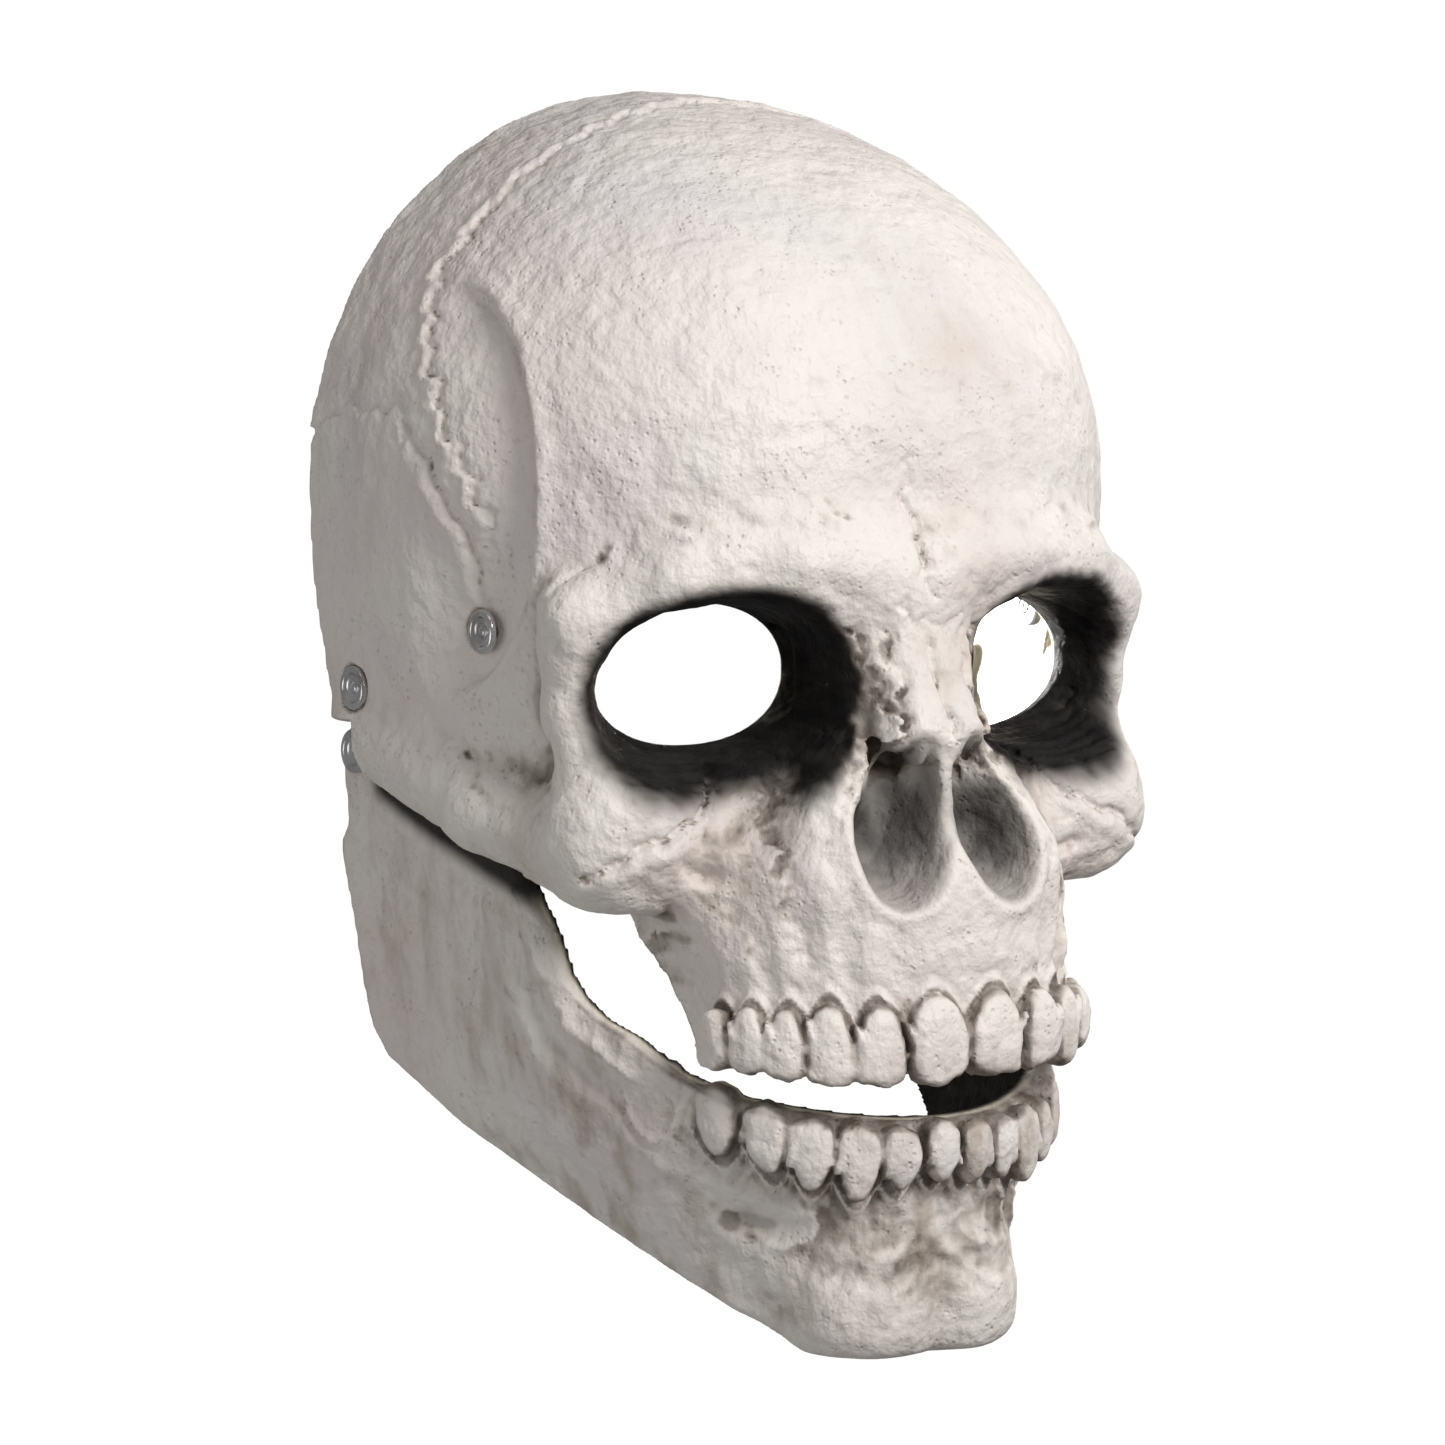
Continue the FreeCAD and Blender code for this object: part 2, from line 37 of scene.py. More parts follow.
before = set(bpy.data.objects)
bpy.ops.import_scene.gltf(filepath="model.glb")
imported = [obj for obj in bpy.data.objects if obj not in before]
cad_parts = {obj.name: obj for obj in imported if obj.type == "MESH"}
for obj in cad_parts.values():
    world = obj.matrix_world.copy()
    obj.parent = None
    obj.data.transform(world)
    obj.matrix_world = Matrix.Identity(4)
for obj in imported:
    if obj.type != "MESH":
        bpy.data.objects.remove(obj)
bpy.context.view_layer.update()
MM = 0.001
WALL = 3.0
DEEPEST = 1.9
VOXEL = 0.7
FINE_VOXEL = 0.4
FAR = 50.0

FRONT, SIDE, TOP = (0, 2), (1, 2), (0, 1)


# ---------------------------------------------------------------- signed distances

def ellipsoid(p, centre, radii):
    q = [(p[i] - centre[i]) / radii[i] for i in range(3)]
    near = np.sqrt(q[0] ** 2 + q[1] ** 2 + q[2] ** 2)
    slope = np.sqrt(sum((q[i] / radii[i]) ** 2 for i in range(3))) + 1e-9
    return near * (near - 1.0) / slope


def bar(p, a, b, radius_a, radius_b):
    """A round bar from a to b whose radius changes evenly."""
    along = [b[i] - a[i] for i in range(3)]
    length2 = sum(v * v for v in along)
    h = np.clip(sum((p[i] - a[i]) * along[i] for i in range(3)) / length2, 0.0, 1.0)
    foot = np.sqrt(sum((p[i] - a[i] - along[i] * h) ** 2 for i in range(3)))
    return foot - radius_a - (radius_b - radius_a) * h


def join(a, b, blend):
    h = np.maximum(blend - np.abs(a - b), 0.0) / blend
    return np.minimum(a, b) - h * h * blend * 0.25


def carve(a, b, blend):
    return -join(-a, b, blend)


def overlap(a, b, blend):
    return -join(-a, -b, blend)


def ridge(p, points, radii):
    """A chain of tapered round bars through the points."""
    best = None
    for k in range(len(points) - 1):
        piece = bar(p, points[k], points[k + 1], radii[k], radii[k + 1])
        best = piece if best is None else join(best, piece, 3.0)
    return best


def turned(p, centre, axes, degrees):
    """The points turned about a line through centre, in the plane of two axes."""
    c, s = math.cos(math.radians(degrees)), math.sin(math.radians(degrees))
    i, j = axes
    out = list(p)
    a, b = p[i] - centre[i], p[j] - centre[j]
    out[i] = centre[i] + c * a + s * b
    out[j] = centre[j] - s * a + c * b
    return out


def ramp(low, high, value):
    """0 below low, 1 above high, smooth between."""
    t = np.clip((value - low) / (high - low), 0.0, 1.0)
    return t * t * (3.0 - 2.0 * t)


def hump(value, width):
    return np.exp(-(value / width) ** 2)


def ripples(p, length, seed):
    """A soft lumpy field between about -1 and 1, made of crossing waves."""
    rng = np.random.RandomState(seed)
    total = 0.0
    for _ in range(5):
        way, across = rng.normal(size=3), rng.normal(size=3)
        way *= 2.0 * math.pi / length / np.linalg.norm(way)
        across *= math.pi / length / np.linalg.norm(across)
        bend = np.sin(p[0] * across[0] + p[1] * across[1] + p[2] * across[2] + rng.uniform(0, 6))
        total = total + np.sin(p[0] * way[0] + p[1] * way[1] + p[2] * way[2] + 2.2 * bend)
    return total / 3.0


def folded(p):
    """The points with X made positive, rounded off at the middle."""
    return [np.sqrt(p[0] ** 2 + 0.5), p[1], p[2]]


def some(p, chosen):
    return [axis[chosen] for axis in p]


# ---------------------------------------------------------------- relief drawn on the surface

def line_distance(a, b, points):
    """Distance in a plane from the chain of segments through the points."""
    best = None
    for (a0, b0), (a1, b1) in zip(points, points[1:]):
        da, db = a1 - a0, b1 - b0
        h = np.clip(((a - a0) * da + (b - b0) * db) / (da * da + db * db), 0.0, 1.0)
        reach = np.hypot(a - a0 - da * h, b - b0 - db * h)
        best = reach if best is None else np.minimum(best, reach)
    return best


def in_view(p, view):
    """Which points a drawing made from the front, the side or the top lands on."""
    if view == FRONT:
        return p[1] < -58.0
    if view == SIDE:
        return np.abs(p[0]) > 42.0
    return p[2] > 84.0


def drawn(d, p, lines):
    """Press each line into the surface, or raise it where its height is negative.

    A line is (view, points, half width, depth, wander), all seen from its view's direction."""
    d = d.copy()
    for view, points, width, depth, wander in lines:
        i, j = view
        reach = 3.0 * width + 2.0 * wander
        low = [min(point[k] for point in points) - reach for k in (0, 1)]
        high = [max(point[k] for point in points) + reach for k in (0, 1)]
        near = in_view(p, view) & (p[i] > low[0]) & (p[i] < high[0]) & (p[j] > low[1]) & (p[j] < high[1])
        if not near.any():
            continue
        q = some(p, near)
        a = q[i] + wander * np.sin(0.8 * q[j] + 0.3 * q[i]) + 0.6 * wander * np.sin(2.0 * q[j] + 1.0)
        b = q[j] + wander * np.sin(0.7 * q[i] + 2.0) + 0.6 * wander * np.sin(1.8 * q[i] + 0.5 * q[j])
        d[near] += depth * hump(line_distance(a, b, points), width)
    return d


SUTURES = [
    (TOP, [(0, -22), (32, -29), (50, -29), (60, -30)], 0.8, 0.8, 0.8),
    (TOP, [(0, -20.5), (32, -27.5), (50, -27.5), (60, -28.5)], 1.3, -0.6, 0.8),
    (SIDE, [(-30, 105), (-29, 94), (-35, 80), (-43, 67), (-51, 56), (-56, 44)], 0.7, 1.0, 1.0),
    (SIDE, [(-28, 105), (-27, 94), (-33, 80), (-41, 67), (-49, 56), (-54, 44)], 1.2, -0.6, 1.0),
    (SIDE, [(6, 58), (-2, 62), (-13, 68), (-25, 66)], 0.8, 1.2, 0.7),
    (SIDE, [(-25, 66), (-29, 69), (-34, 65), (-33, 58), (-30, 62)], 0.8, 1.0, 0.3),
    (SIDE, [(-33, 64), (-41, 57), (-48, 46), (-50, 42), (-50, 28)], 0.8, 1.4, 0.35),
    (SIDE, [(-31, 61), (-39, 54), (-46, 44), (-48, 40), (-48, 29)], 1.5, -0.8, 0.3),
]
FACE_LINES = [
    (FRONT, [(37, -3), (42, -10), (46, -13), (54, -16), (61, -18.5), (68, -24)], 0.7, 1.5, 0.45),
    (FRONT, [(38, -6), (44, -13.5), (54, -19), (66, -25)], 2.0, -0.7, 0.3),
    (FRONT, [(42, -24.5), (48, -22.5)], 1.7, 1.7, 0.2),
    (FRONT, [(38, -21), (48, -18.5), (56, -20)], 2.0, -0.5, 0.3),
    (FRONT, [(53, -27.5), (58, -26.5)], 2.2, 0.7, 0.3),
    (FRONT, [(14, 24), (11, 14), (9, 4), (15, -5)], 0.9, 1.0, 0.6),
    (FRONT, [(9, 24), (7.5, 14), (10, 5)], 0.8, 0.7, 0.6),
    (FRONT, [(18, 18), (15, 8), (18, -3), (22, -12)], 1.0, 0.8, 0.6),
    (FRONT, [(12, 20), (9.5, 12), (12, 2), (18, -8)], 1.3, -0.7, 0.5),
    (FRONT, [(22, 4), (25, -8), (27, -22)], 1.4, 0.6, 0.6),
    (FRONT, [(28, -8), (33, -20), (33, -32), (29, -42)], 1.4, 0.6, 0.5),
    (FRONT, [(31, -10), (36, -22), (36, -34), (33, -44)], 1.6, -0.5, 0.5),
    (FRONT, [(36, -16), (40, -30), (37, -42)], 1.2, 0.45, 0.4),
    (FRONT, [(50, -29), (45, -35), (42, -46)], 1.0, 0.5, 0.4),
    (FRONT, [(46, -27), (41, -35), (39, -44)], 1.5, -0.4, 0.4),
    (FRONT, [(24, -27), (26, -36), (23, -45)], 1.2, 0.55, 0.4),
    (FRONT, [(16, -33), (15, -39), (17, -46)], 0.9, 0.5, 0.6),
    (FRONT, [(8, -34), (8, -40), (6, -46)], 0.9, 0.5, 0.6),
    (FRONT, [(14, 30), (24, 33), (38, 36)], 1.4, 0.5, 0.6),
    (FRONT, [(12, 46), (26, 43), (40, 47)], 2.0, 0.5, 0.6),
    (FRONT, [(50, 44), (50.5, 44)], 2.6, 0.7, 0.0),
    (FRONT, [(50, 43.5), (50.5, 43.5)], 1.5, -1.7, 0.0),
    (SIDE, [(-78, 40), (-74, 30), (-77, 20)], 0.9, 0.6, 0.6),
    (SIDE, [(-72, 8), (-70, -4), (-74, -14)], 0.9, 0.6, 0.6),
    (SIDE, [(-44, -2), (-52, -10), (-62, -14)], 1.2, 0.7, 0.6),
    (SIDE, [(-30, 12), (-38, 2), (-48, -3)], 1.4, 0.7, 0.7),
    (SIDE, [(-22, 14), (-26, 8), (-24, 2)], 1.6, 0.8, 0.5),
    (SIDE, [(-8, 20), (-18, 22), (-28, 20)], 1.1, 0.7, 0.9),
]
MIDDLE_LINES = [
    (FRONT, [(0, 58), (-1, 50), (1, 44), (-1, 37), (1, 30)], 0.8, 0.9, 0.7),
    (FRONT, [(-6, 29), (-3, 24), (0, 27), (4, 23), (8, 27)], 0.7, 0.8, 0.6),
    (FRONT, [(0, 22), (-0.5, 12), (0.5, 4)], 0.6, 0.6, 0.4),
    (FRONT, [(-20, 50), (-14, 44), (-17, 40)], 0.7, 0.5, 0.8),
    (FRONT, [(0, -32), (0.5, -44)], 0.8, 0.6, 0.3),
    (FRONT, [(-17, 98), (-16.6, 98)], 1.4, 0.8, 0.0),
    (FRONT, [(52, 67), (52.4, 67)], 1.5, 0.8, 0.0),
]
JAW_LINES = [
    (SIDE, [(-26, -24), (-21, -40), (-18, -58)], 1.5, 0.8, 0.35),
    (SIDE, [(-33, -27), (-28, -42), (-26, -64)], 1.1, 0.5, 0.3),
    (SIDE, [(-41, -30), (-37, -46), (-34, -62)], 1.5, 0.8, 0.35),
    (SIDE, [(-14, -26), (-11, -44), (-10, -62)], 1.1, 0.6, 0.35),
    (SIDE, [(-52, -29), (-55, -44), (-60, -56), (-72, -65)], 1.8, -1.1, 0.2),
    (SIDE, [(-47, -32), (-50, -47), (-56, -61), (-68, -72)], 1.6, 1.0, 0.3),
    (SIDE, [(-43, -34), (-46, -50), (-53, -66), (-70, -80), (-84, -93)], 2.2, -0.7, 0.3),
    (SIDE, [(-60, -72), (-74, -86), (-88, -100)], 2.4, 0.6, 0.4),
    (SIDE, [(-20, -70), (-24, -76)], 2.4, -0.7, 0.4),
    (SIDE, [(-30, -72), (-33, -80)], 2.4, -0.7, 0.4),
    (SIDE, [(-42, -76), (-40, -84)], 2.6, -0.6, 0.4),
    (SIDE, [(-12, -66), (-22, -74), (-38, -78), (-52, -86)], 1.2, 0.5, 0.6),
    (FRONT, [(29, -95), (32, -94)], 2.4, 2.3, 0.2),
    (FRONT, [(28, -99), (24, -96), (25, -92)], 1.3, -0.8, 0.3),
    (FRONT, [(34, -92), (42, -88)], 2.2, 0.6, 0.4),
    (FRONT, [(21, -104), (14, -106.5), (7, -102)], 1.3, 0.5, 0.4),
    (FRONT, [(19, -99), (12, -101), (6, -97)], 1.7, -0.5, 0.3),
    (FRONT, [(0, -101), (5, -105), (10, -109)], 1.1, 0.4, 0.3),
    (FRONT, [(38, -97), (30, -106), (24, -113)], 1.7, 0.4, 0.5),
    (FRONT, [(15, -88), (13, -95)], 1.3, 0.3, 0.4),
    (FRONT, [(24, -89), (21, -95)], 1.3, 0.3, 0.4),
]


# ---------------------------------------------------------------- the teeth

def tooth_arch(half_width, reach, centre, power, teeth):
    """A dental arch in plan, with its length measured out from the middle."""
    turn = np.linspace(0.0, math.pi / 2, 400)
    x = half_width * np.sin(turn) ** (2 / power)
    y = reach * np.cos(turn) ** (2 / power)
    run = np.concatenate([[0.0], np.cumsum(np.hypot(np.diff(x), np.diff(y)))])
    return {
        "half_width": half_width, "reach": reach, "centre": centre, "power": power,
        "x": x, "run": run, "teeth": teeth,
    }


# Each tooth: distance from the middle, width, height of its neck, height of its biting edge, and
# how far its edge comes to a point.
UPPER_ARCH = tooth_arch(46.0, 43.0, -72.5, 2.38, [
    (6.9, 13.2, -51.0, -64.4, 0.0), (19.0, 11.2, -52.0, -63.9, 0.4), (28.2, 10.2, -51.5, -64.0, 1.2),
    (34.8, 8.8, -53.0, -63.2, 1.0), (39.7, 8.2, -53.5, -62.8, 0.8), (43.0, 8.4, -53.5, -61.6, 0.6),
])
LOWER_ARCH = tooth_arch(43.6, 44.0, -68.6, 2.02, [
    (4.1, 7.8, -82.0, -72.3, 0.2), (12.3, 8.6, -83.0, -72.4, 0.4), (20.2, 9.8, -84.5, -71.4, 1.8),
    (27.7, 9.4, -82.0, -70.8, 1.6), (34.2, 9.2, -80.0, -68.6, 1.6), (39.6, 9.8, -77.0, -65.4, 1.4),
    (43.2, 10.4, -72.5, -61.0, 1.2),
])


def arch_ring(q, arch):
    """Distance outside an arch's outline, and the crossing distance of the nearest outline point."""
    across = np.abs(q[0]) / arch["half_width"]
    forward = np.maximum(arch["centre"] - q[1], 1e-3) / arch["reach"]
    near = (across ** arch["power"] + forward ** arch["power"] + 1e-9) ** (1 / arch["power"])
    return (near - 1.0) * arch["half_width"], across / near * arch["half_width"]


def with_teeth(d, p, arch, outward, roots, seed):
    """Add an arch of teeth, each with a gum collar. The swell of its root is scaled by roots."""
    d = d.copy()
    rng = np.random.RandomState(seed)
    ring, foot = arch_ring(p, arch)
    run = np.interp(foot, arch["x"], arch["run"]) + np.maximum(p[1] - arch["centre"], 0.0)
    for place, width, neck, edge, point in arch["teeth"]:
        middle = np.interp(place, arch["x"], arch["run"])
        up = 1.0 if neck > edge else -1.0
        for side in (-1.0, 1.0):
            lift, slip, lean, swell = rng.uniform(-1.0, 1.0, 4)
            height = abs(neck - edge) / 2 + 1.8
            centre = (neck + edge) / 2 + 1.8 * up + 0.5 * lift
            tall = (p[2] - centre) * up / height
            near = (np.abs(run - middle) < width * 0.9) & (np.abs(tall) < 5.6) & (np.abs(ring) < 9.0)
            near &= (p[0] * side >= 0) & (p[1] < arch["centre"] + 16.0)
            if not near.any():
                continue
            t, u, r = tall[near], run[near] - middle + 0.3 * slip, ring[near]
            u = (u + 0.5 * lean * t) / (width / 2)
            reach = np.where(t < 0, 1.0 - point * (np.minimum(u * u, 1.2) - 0.25) / height, 1.0)
            shape_u = u / (0.94 - 0.09 * t - 0.10 * (t + 0.2) ** 2)
            belly = outward - 1.0 - 0.6 * t * t - 0.35 * t + 0.3 * swell
            depth = (r - belly) / 2.6
            depth = np.where(depth < 0, depth * 0.45, depth)
            corner = np.where(t < 0, 4.4, 2.1)
            face = (np.abs(shape_u) ** corner + np.abs(t / reach) ** corner + 1e-9) ** (1 / corner)
            tooth = ((face ** 3.0 + np.abs(depth) ** 3.0) ** (1 / 3.0) - 1.0) * 2.8
            rims = np.cos(u * math.pi * 2.4) * np.clip(1 - u * u, 0, 1) * ramp(0.6, -0.6, t)
            tooth -= 0.08 * rims
            outline = (face - 1.0) * min(width / 2, height)
            above = ramp(-0.1, 0.4, t)
            gum = above * (0.8 * hump(outline - 1.3, 0.8) - 0.25 * hump(outline - 2.9, 0.7))
            past = ramp(1.0, 1.8, t) * roots
            root = 0.5 * (1 + 0.6 * swell) * hump(u, 0.45) * past * (1 - ramp(1.9, 4.6, t))
            valley = 0.3 * (1 + 0.8 * lean) * hump(np.abs(u) - 1.0, 0.3) * past * (1 - ramp(1.6, 4.2, t))
            d[near] = join(d[near] - gum - root + valley, tooth, 0.4)
    return d


# ---------------------------------------------------------------- the upper shell

def cranium(p):
    """The brain case: squared off in plan, taller below its widest level than above."""
    up = p[2] - 52.0
    rise = np.where(up > 0, 79.0, 128.0)
    power = 2.75
    across = np.abs(p[0]) / 82.0 + 1e-6
    along = np.abs(p[1] - 2.0) / 99.0 + 1e-6
    near = np.sqrt((across ** power + along ** power) ** (2 / power) + (up / rise) ** 2)
    return (1.0 - 1.0 / near) * np.sqrt(p[0] ** 2 + (p[1] - 2.0) ** 2 + up ** 2)


def socket_wall(q):
    """Distance outside the slanted oval funnel of an eye socket, whatever the depth."""
    wider = np.clip((-71.4 - q[1]) / 13.6, -0.2, 1.9)
    tilt = math.radians(-6)
    across, up = q[0] - 35.5 - 4.6 * wider, q[2] - 14.0 + 1.8 * wider
    major = (across * math.cos(tilt) + up * math.sin(tilt)) / (22.4 + 3.4 * wider)
    minor = (up * math.cos(tilt) - across * math.sin(tilt)) / (14.4 + 2.9 * wider)
    near = (np.abs(major) ** 2.3 + np.abs(minor) ** 2.3 + 1e-9) ** (1 / 2.3)
    return (near - 1.0) * (14.4 + 2.9 * wider)


def eye_hole(q):
    near = (np.abs((q[0] - 34.4) / 23.2) ** 2.2 + np.abs((q[2] - 14.2) / 14.2) ** 2.2 + 1e-9) ** (1 / 2.2)
    return np.maximum((near - 1.0) * 14.0, np.abs(q[1] + 63.0) - 13.0)


def nose_cavity(q):
    """One of the two pear-shaped nose openings, leaning outward at the bottom."""
    leaned = turned(q, (11.5, 0, -13), FRONT, 9)
    wide = ellipsoid(leaned, (11.2, -113.5, -16.5), (9.6, 17.0, 13.8))
    high = ellipsoid(leaned, (8.4, -112.0, -8.5), (6.0, 15.0, 12.0))
    return join(wide, high, 5.0)


def skull_form(q):
    """The bone form without its relief, from a folded cloud."""
    d = cranium(q)
    d = join(d, ridge(q, [(5, -94, 33), (26, -93, 36), (48, -86, 35), (64, -76, 26)], [9, 7.5, 7, 6]), 10)
    d = join(d, ridge(q, [(66, -75, 27), (65, -72, 8), (60, -76, -10)], [5.5, 5, 7]), 8)
    d = join(d, ellipsoid(q, (52, -78, -17), (19, 12, 15)), 10)
    d = join(d, ridge(q, [(60, -72, -20), (68, -45, -13), (71, -8, 0)], [10, 8, 8]), 8)
    d = join(d, ellipsoid(q, (0, -72, -34), (44, 44, 36)), 10)
    d = join(d, ridge(q, [(2, -94, 28), (4, -98, 15), (4, -105, 5)], [7.5, 7.0, 6.0]), 7)
    d = join(d, ridge(q, [(12, -89, 22), (20, -97, -2), (24, -103, -24)], [5, 5, 6]), 9)
    ring = arch_ring(q, UPPER_ARCH)[0]
    gum = ring + 1.4 + 0.16 * np.maximum(q[2] + 52.0, 0.0)
    d = join(d, np.maximum(np.maximum(gum, np.abs(q[2] + 42.0) - 20.0), q[1] + 66.0), 8)
    d = carve(d, ellipsoid(q, (64, -80, -54), (22, 30, 19)), 8)
    d = carve(d, np.maximum(socket_wall(q), q[1] + 70.0), 3.5)
    d = carve(d, ellipsoid(q, (84, -57, 22), (12, 20, 27)), 7)
    d = carve(d, nose_cavity(q), 2.5)
    behind = temple_hollow(q)
    beside = ramp(40.0, 56.0, q[0]) * ramp(0.0, 16.0, q[2]) * ramp(-31.0, -50.0, q[1])
    step = ramp(0.0, 2.6, behind) * (1 - ramp(5.0, 20.0, behind))
    return d + beside * (2.6 * step - 0.9 * hump(behind + 0.8, 1.8))


def temple_hollow(q):
    """How far behind the temple ridge a point is, in the side view. The ridge is part of an oval."""
    return (1.0 - np.hypot((q[1] + 33.0) / 35.0, (q[2] - 50.0) / 43.0)) * 36.0


def skull_relief(d, p, q):
    """Everything finer than the form: brows, teeth, sutures, cracks and lumps."""
    form = d
    in_front = ramp(-56.0, -66.0, q[1])
    d = d - 1.4 * in_front * hump(np.hypot(q[0] - 20, (q[2] - 41) * 1.6), 13.0)
    d = d + 0.9 * in_front * hump(np.hypot(q[0], q[2] - 50), 9.0)
    crest = np.interp(q[2], [-33, -20, -7, 5], [-111.5, -109.5, -109.5, -108.0])
    septum = np.maximum(np.abs(q[0]) - 1.5, np.maximum(crest - q[1], np.abs(q[2] + 14.0) - 19.0))
    d = join(d, np.maximum(septum, q[1] + 92.0), 2.5)
    jagged = 1.1 * np.sin(p[0] * 0.9) + 0.7 * np.sin(p[0] * 2.1 + 1.0)
    bones = bar([q[0] / 2.0, q[1], q[2] + jagged], (0, -99, 12), (0, -105.5, 3.5), 4.6, 5.4)
    d = join(d, bones, 2.0)
    d = join(d, ellipsoid(q, (0, -110.5, -30), (3.4, 4.0, 4.0)), 3.0)
    rim = nose_cavity(q)
    d = d - 0.9 * in_front * hump(rim - 1.8, 1.6) * (q[1] < -98)
    d = with_teeth(d, p, UPPER_ARCH, 2.2, 1.0, 3)
    d = drawn(d, q, SUTURES + FACE_LINES)
    d = drawn(d, p, MIDDLE_LINES)
    socket_rings = in_front * hump(socket_wall(q), 2.0) * ramp(6.0, -6.0, q[2]) * ramp(30.0, 44.0, q[0])
    d = d + 0.45 * socket_rings * np.sin(q[1] * 2.0 * math.pi / 2.6)
    return np.minimum(d + surface_lumps(p, ramp(60.0, 76.0, q[0])), form + DEEPEST)


def surface_lumps(p, sideways):
    """The hand-worked unevenness of the bone, drawn out into wrinkles on the sides."""
    stretched = [p[0] * 1.0, p[1] * 1.25, p[2] * 0.55]
    lumps = 0.30 * ripples(p, 19.0, 5) + 0.15 * ripples(p, 8.5, 6) + 0.08 * ripples(p, 3.4, 7)
    wrinkles = 0.14 * ripples(stretched, 8.5, 8) + 0.08 * ripples(stretched, 3.3, 9)
    return lumps * (1 - 0.4 * sideways) + wrinkles * (0.2 + 0.8 * sideways)


def cheek_edge(y):
    """The height of the upper shell's lower edge along the side of the face."""
    return np.interp(-y, [0, 38, 62, 78, 95], [-3, -20, -31, -34, -34])


def upper_shell(p):
    q = folded(p)
    form = skull_form(q)
    d = skull_relief(form, p, q)
    bosses = boss(q, ARCH_SNAP)
    d = join(d, bosses, 1.5)
    d = np.maximum(d, -np.minimum(form, bosses + 1.0) - WALL)
    d = overlap(d, q[1], 0.8)
    d = carve(d, eye_hole(q), 0.6)
    cheek = np.where(q[0] > CHEEK_INSIDE, cheek_edge(q[1]) - q[2], -FAR)
    d = overlap(d, cheek, 0.8)
    d = np.maximum(d, -rear_mouth(q))
    notch = np.maximum(HINGE_NOTCH_FRONT - q[1], CHEEK_INSIDE - q[0])
    d = np.maximum(d, -np.maximum(q[2] - HINGE_NOTCH_TOP, notch))
    for snap in (TEMPLE_SNAP, ARCH_SNAP):
        d = np.maximum(d, -bore(q, snap, True))
    return d


def rear_mouth(q):
    """The space behind the upper teeth, open from below, its front face leaning forward."""
    front = (-64.0 + 0.72 * (q[2] + 34.0) - q[1]) * 0.8
    return np.maximum(np.maximum(q[0] - 46.5, front), q[2] + 24.0)


# ---------------------------------------------------------------- the jaw

# Height, half width at the rear, reach forward and squareness of the horseshoe, from the bottom up.
JAW_PLAN = np.array([
    (-126, 36, 99, 2.5),
    (-100, 49, 107, 2.2),
    (-80, 60, 110.5, 2.1),
    (-62, 66, 111.5, 2.05),
    (-25, 72.5, 111, 2.0),
    (-8, 74, 111, 2.0),
    (5, 74, 111, 2.0),
])
JAW_TOP = [
    (0, -3), (12, -3), (14, -8), (30, -9), (44, -13), (51, -24), (57, -38), (59, -46), (62, -51),
    (66, -54.5), (72, -57.5), (80, -64), (88, -68), (107, -73), (125, -74.5),
]
JAW_BOTTOM = [(0, -69), (20, -80), (60, -103), (92, -121), (125, -122)]


def jaw_form(q):
    """The jaw's horseshoe without relief, from a folded cloud."""
    width, reach, power = [np.interp(q[2], JAW_PLAN[:, 0], JAW_PLAN[:, k]) for k in (1, 2, 3)]
    forward = np.abs(np.minimum(q[1], 0.0)) / reach
    near = (np.abs(q[0] / width) ** power + forward ** power + 1e-9) ** (1 / power)
    d = (near - 1.0) * 60.0
    d = join(d, ellipsoid(q, (10, -96, -112), (14, 13, 13)), 10)
    return carve(d, ellipsoid(q, (0, -123, -92), (30, 12, 7)), 9)


def jaw_relief(form, p, q):
    d = with_teeth(form, p, LOWER_ARCH, 1.6, 0.3, 8)
    d = drawn(d, q, JAW_LINES)
    lip = ramp(-7.0, -1.0, q[1]) * ramp(-18.0, -24.0, q[2]) * ramp(-70.0, -60.0, q[2])
    return np.minimum(d - 1.6 * lip + surface_lumps(p, ramp(40.0, 60.0, q[0])), form + DEEPEST)


def jaw_shell(p):
    q = folded(p)
    form = jaw_form(q)
    d = jaw_relief(form, p, q)
    low = np.interp(-q[1], *zip(*JAW_BOTTOM))
    d = overlap(d, (low - q[2]) * 0.85, 2.0)
    top = (q[2] - np.interp(-q[1], *zip(*JAW_TOP))) * 0.7
    knuckle = np.hypot(q[1] - JAW_SNAP["y"], q[2] - JAW_SNAP["z"]) - 5.5
    teeth = with_teeth(np.full_like(d, FAR), p, LOWER_ARCH, 1.6, 0.0, 8)
    d = overlap(d, np.minimum(np.minimum(top, knuckle), teeth), 1.2)
    d = overlap(d, q[1], 0.8)
    d = np.maximum(d, -form - WALL)
    return np.maximum(d, -bore(q, JAW_SNAP, True))


# ---------------------------------------------------------------- where the snaps are

def snap_place(node):
    """The centre of a snap in the side view and the reach of its two ends, in millimetres."""
    low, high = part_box(node)
    ends = sorted((abs(low[0]), abs(high[0])))
    return {
        "y": (low[1] + high[1]) / 2 / MM, "z": (low[2] + high[2]) / 2 / MM,
        "inner": ends[0] / MM, "outer": ends[1] / MM, "radius": (high[1] - low[1]) / 2 / MM,
    }


TEMPLE_SNAP = snap_place("temple_snap_cap_left")
ARCH_SNAP = snap_place("arch_snap_cap_left")
JAW_SNAP = snap_place("jaw_snap_cap_left")
CAP_HEIGHT = 1.5
POST_RADIUS = 1.6
HINGE_NOTCH_TOP = 2.5
HINGE_NOTCH_FRONT = -11.5
CHEEK_INSIDE = 46.0


def around(q, snap):
    return np.hypot(q[1] - snap["y"], q[2] - snap["z"])


